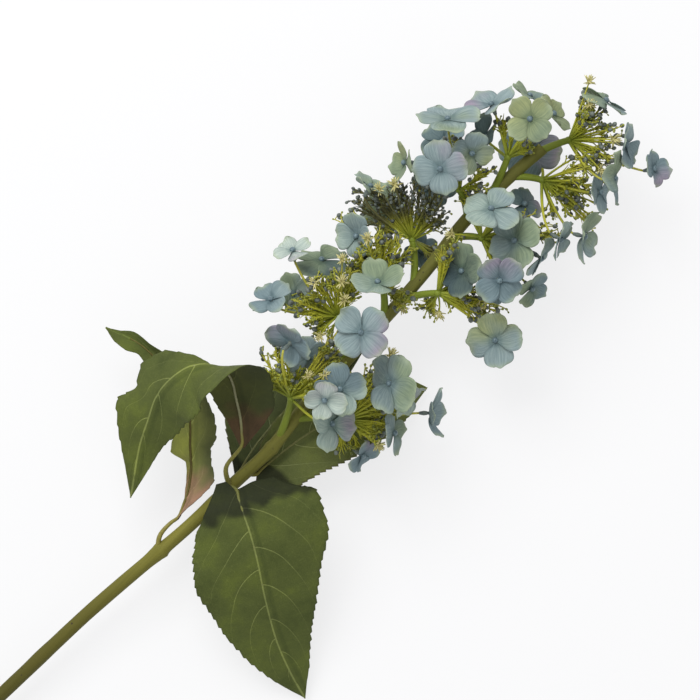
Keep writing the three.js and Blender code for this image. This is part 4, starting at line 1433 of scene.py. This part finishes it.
# %% Tufts
RAY_RADII = (0.8, 0.5)
SHOOTS = 4                  # of a ray
FINE = (4, 12)              # finer rays of a tuft and needles of a ray, unless the spray has its own


def tuft_rays(fork, tuft, finer, random):
    """The first ray of a tuft and others fanned round it, where they clear the petals."""
    middle, reach, wanted = Vector(tuft[:3]), tuft[3], tuft[4] + finer
    rays = [ray(fork, middle, random)]
    for _ in range(3 * wanted):
        goal = middle + any_direction(random) * reach * random.uniform(0.4, 1.0)
        one = ray(fork, goal, random)
        if goal.z > LOWEST_RAY and all(clear(point, RAY_ROOM) for point in one[3:]):
            rays.append(one)
        if len(rays) > wanted:
            break
    return rays


def grow_tuft(fork, tuft, dark, fine, random):
    """Strands of one tuft, and its buds as (matrix, finish)."""
    strands, buds = [], []
    for carrier in tuft_rays(fork, tuft, fine[0], random):
        strands.append(strand(carrier, RAY_RADII))
        outward = (carrier[-1] - fork).normalized()
        for _ in range(SHOOTS):
            shoot = twig(carrier, SHOOT, outward, random)
            if shoot is None:
                continue
            strands.append(shoot)
            buds.append(with_bud(shoot[0], dark, random))
            branch = twig(shoot[0], BRANCH, outward, random)
            if branch is not None:
                strands.append(branch)
                buds.append(with_bud(branch[0], 0.7 * dark, random))
        needles = [twig(carrier, NEEDLE, outward, random) for _ in range(fine[1])]
        strands += [needle for needle in needles if needle is not None]
    return strands, buds


all_tufts = [tuft for spray in SPRAYS.values() for tuft in spray["tufts"] + spray.get("more_tufts", [])]
most_rays = 1 + FINE[0] + max(tuft[4] for tuft in all_tufts)
print("tufts:", len(all_tufts), "with up to", most_rays, "rays each")

# %% [markdown]
# ## Sprays
#
# A spray is one branched twig with its buds, and it takes the place of one plain part. Every bud could
# stay an object of its own, but thousands of objects are slow and hard to move together. So stalks,
# rays and needles are one curve made a mesh, and buds and star flowers join it as copies. Each point
# of the twigs then stores how far from the fork it is and how ripe, which its finish reads.

# %% Spray pieces
STAR_STALK_RADII = (0.7, 0.45)
TUFT_REACH = 40             # the twigs are at their yellowest this far from the fork


def grow_spray(spray, random):
    """Strands of a spray beyond its fork, and its buds and stars as (matrix, finish)."""
    fork = Vector(spray["fork"])
    strands = [stalk(fork, floret) for floret in spray["florets"]]
    strands += [stalk(fork, floret, ROOTED_OVERLAP) for floret in spray.get("rooted", [])]
    tips = []
    for tuft in spray["tufts"] + spray.get("more_tufts", []):
        new_strands, buds = grow_tuft(fork, tuft, spray["dark"], spray.get("fine", FINE), random)
        strands += new_strands
        tips += buds
    for place in spray.get("stars", []):
        top = ray(fork, Vector(place), random)
        strands.append(strand(top, STAR_STALK_RADII))
        tips.append((sit(top, random.uniform(0.9, 1.1)), STAR))
    return strands, tips


def spray_bmesh(spray, strands, tips):
    """Peduncle, fork, stalks and tufts of one spray as one mesh."""
    fork = Vector(spray["fork"])
    bm = bmesh.new()
    with_mesh(bm, rods([peduncle(spray)], resolution=3), material=TWIG)
    bmesh.ops.create_icosphere(bm, subdivisions=2, radius=0.85 * FORK_RADIUS, matrix=Matrix.Translation(fork))
    peduncle_count = len(bm.verts)
    with_mesh(bm, rods(strands), material=TWIG)
    for matrix, finish in tips:
        with_mesh(bm, star if finish == STAR else bud, matrix, material=finish)
    from_fork = bm.verts.layers.float.new("from_fork")
    ripe = bm.verts.layers.float.new("ripe")
    ripened = smooth_step(8 * (spray["dark"] - 0.85))       # only a spray that is dark all over
    bm.verts.ensure_lookup_table()
    for vert in bm.verts[peduncle_count:]:
        vert[from_fork] = min(1, (vert.co - fork).length / TUFT_REACH)
        ends = 0.4 * spray["dark"] * smooth_step((vert[from_fork] - 0.5) / 0.4)
        vert[ripe] = max(ends, ripened * smooth_step(2.5 * vert[from_fork] - 0.6))
    return bm


for name, spray in SPRAYS.items():
    strands, tips = grow_spray(spray, Random(name))
    bm = spray_bmesh(spray, strands, tips)
    made = piece(f"twigs_{name}", bm, spray_finishes, "bud_spray", f"spray_{name}")
    print(made.name, len(tips), "buds and stars,", len(made.data.polygons), "faces")

# %% [markdown]
# ## Floor finish
#
# The real spray was photographed on a white sheet lit from below, which leaves hardly any shadow. So
# the floor glows a little and gives back less light than paint would.

# %% Floor finish
def floor_material():
    material, tree, shader = new_material("glowing_sheet", 0.9, 0.1)
    shader.inputs["Base Color"].default_value = (0.2, 0.2, 0.2, 1)
    shader.inputs["Emission Color"].default_value = (0.99, 0.99, 1, 1)
    shader.inputs["Emission Strength"].default_value = 0.74
    return material


floor.data.materials.append(floor_material())
print("floor finish:", floor.data.materials[0].name)
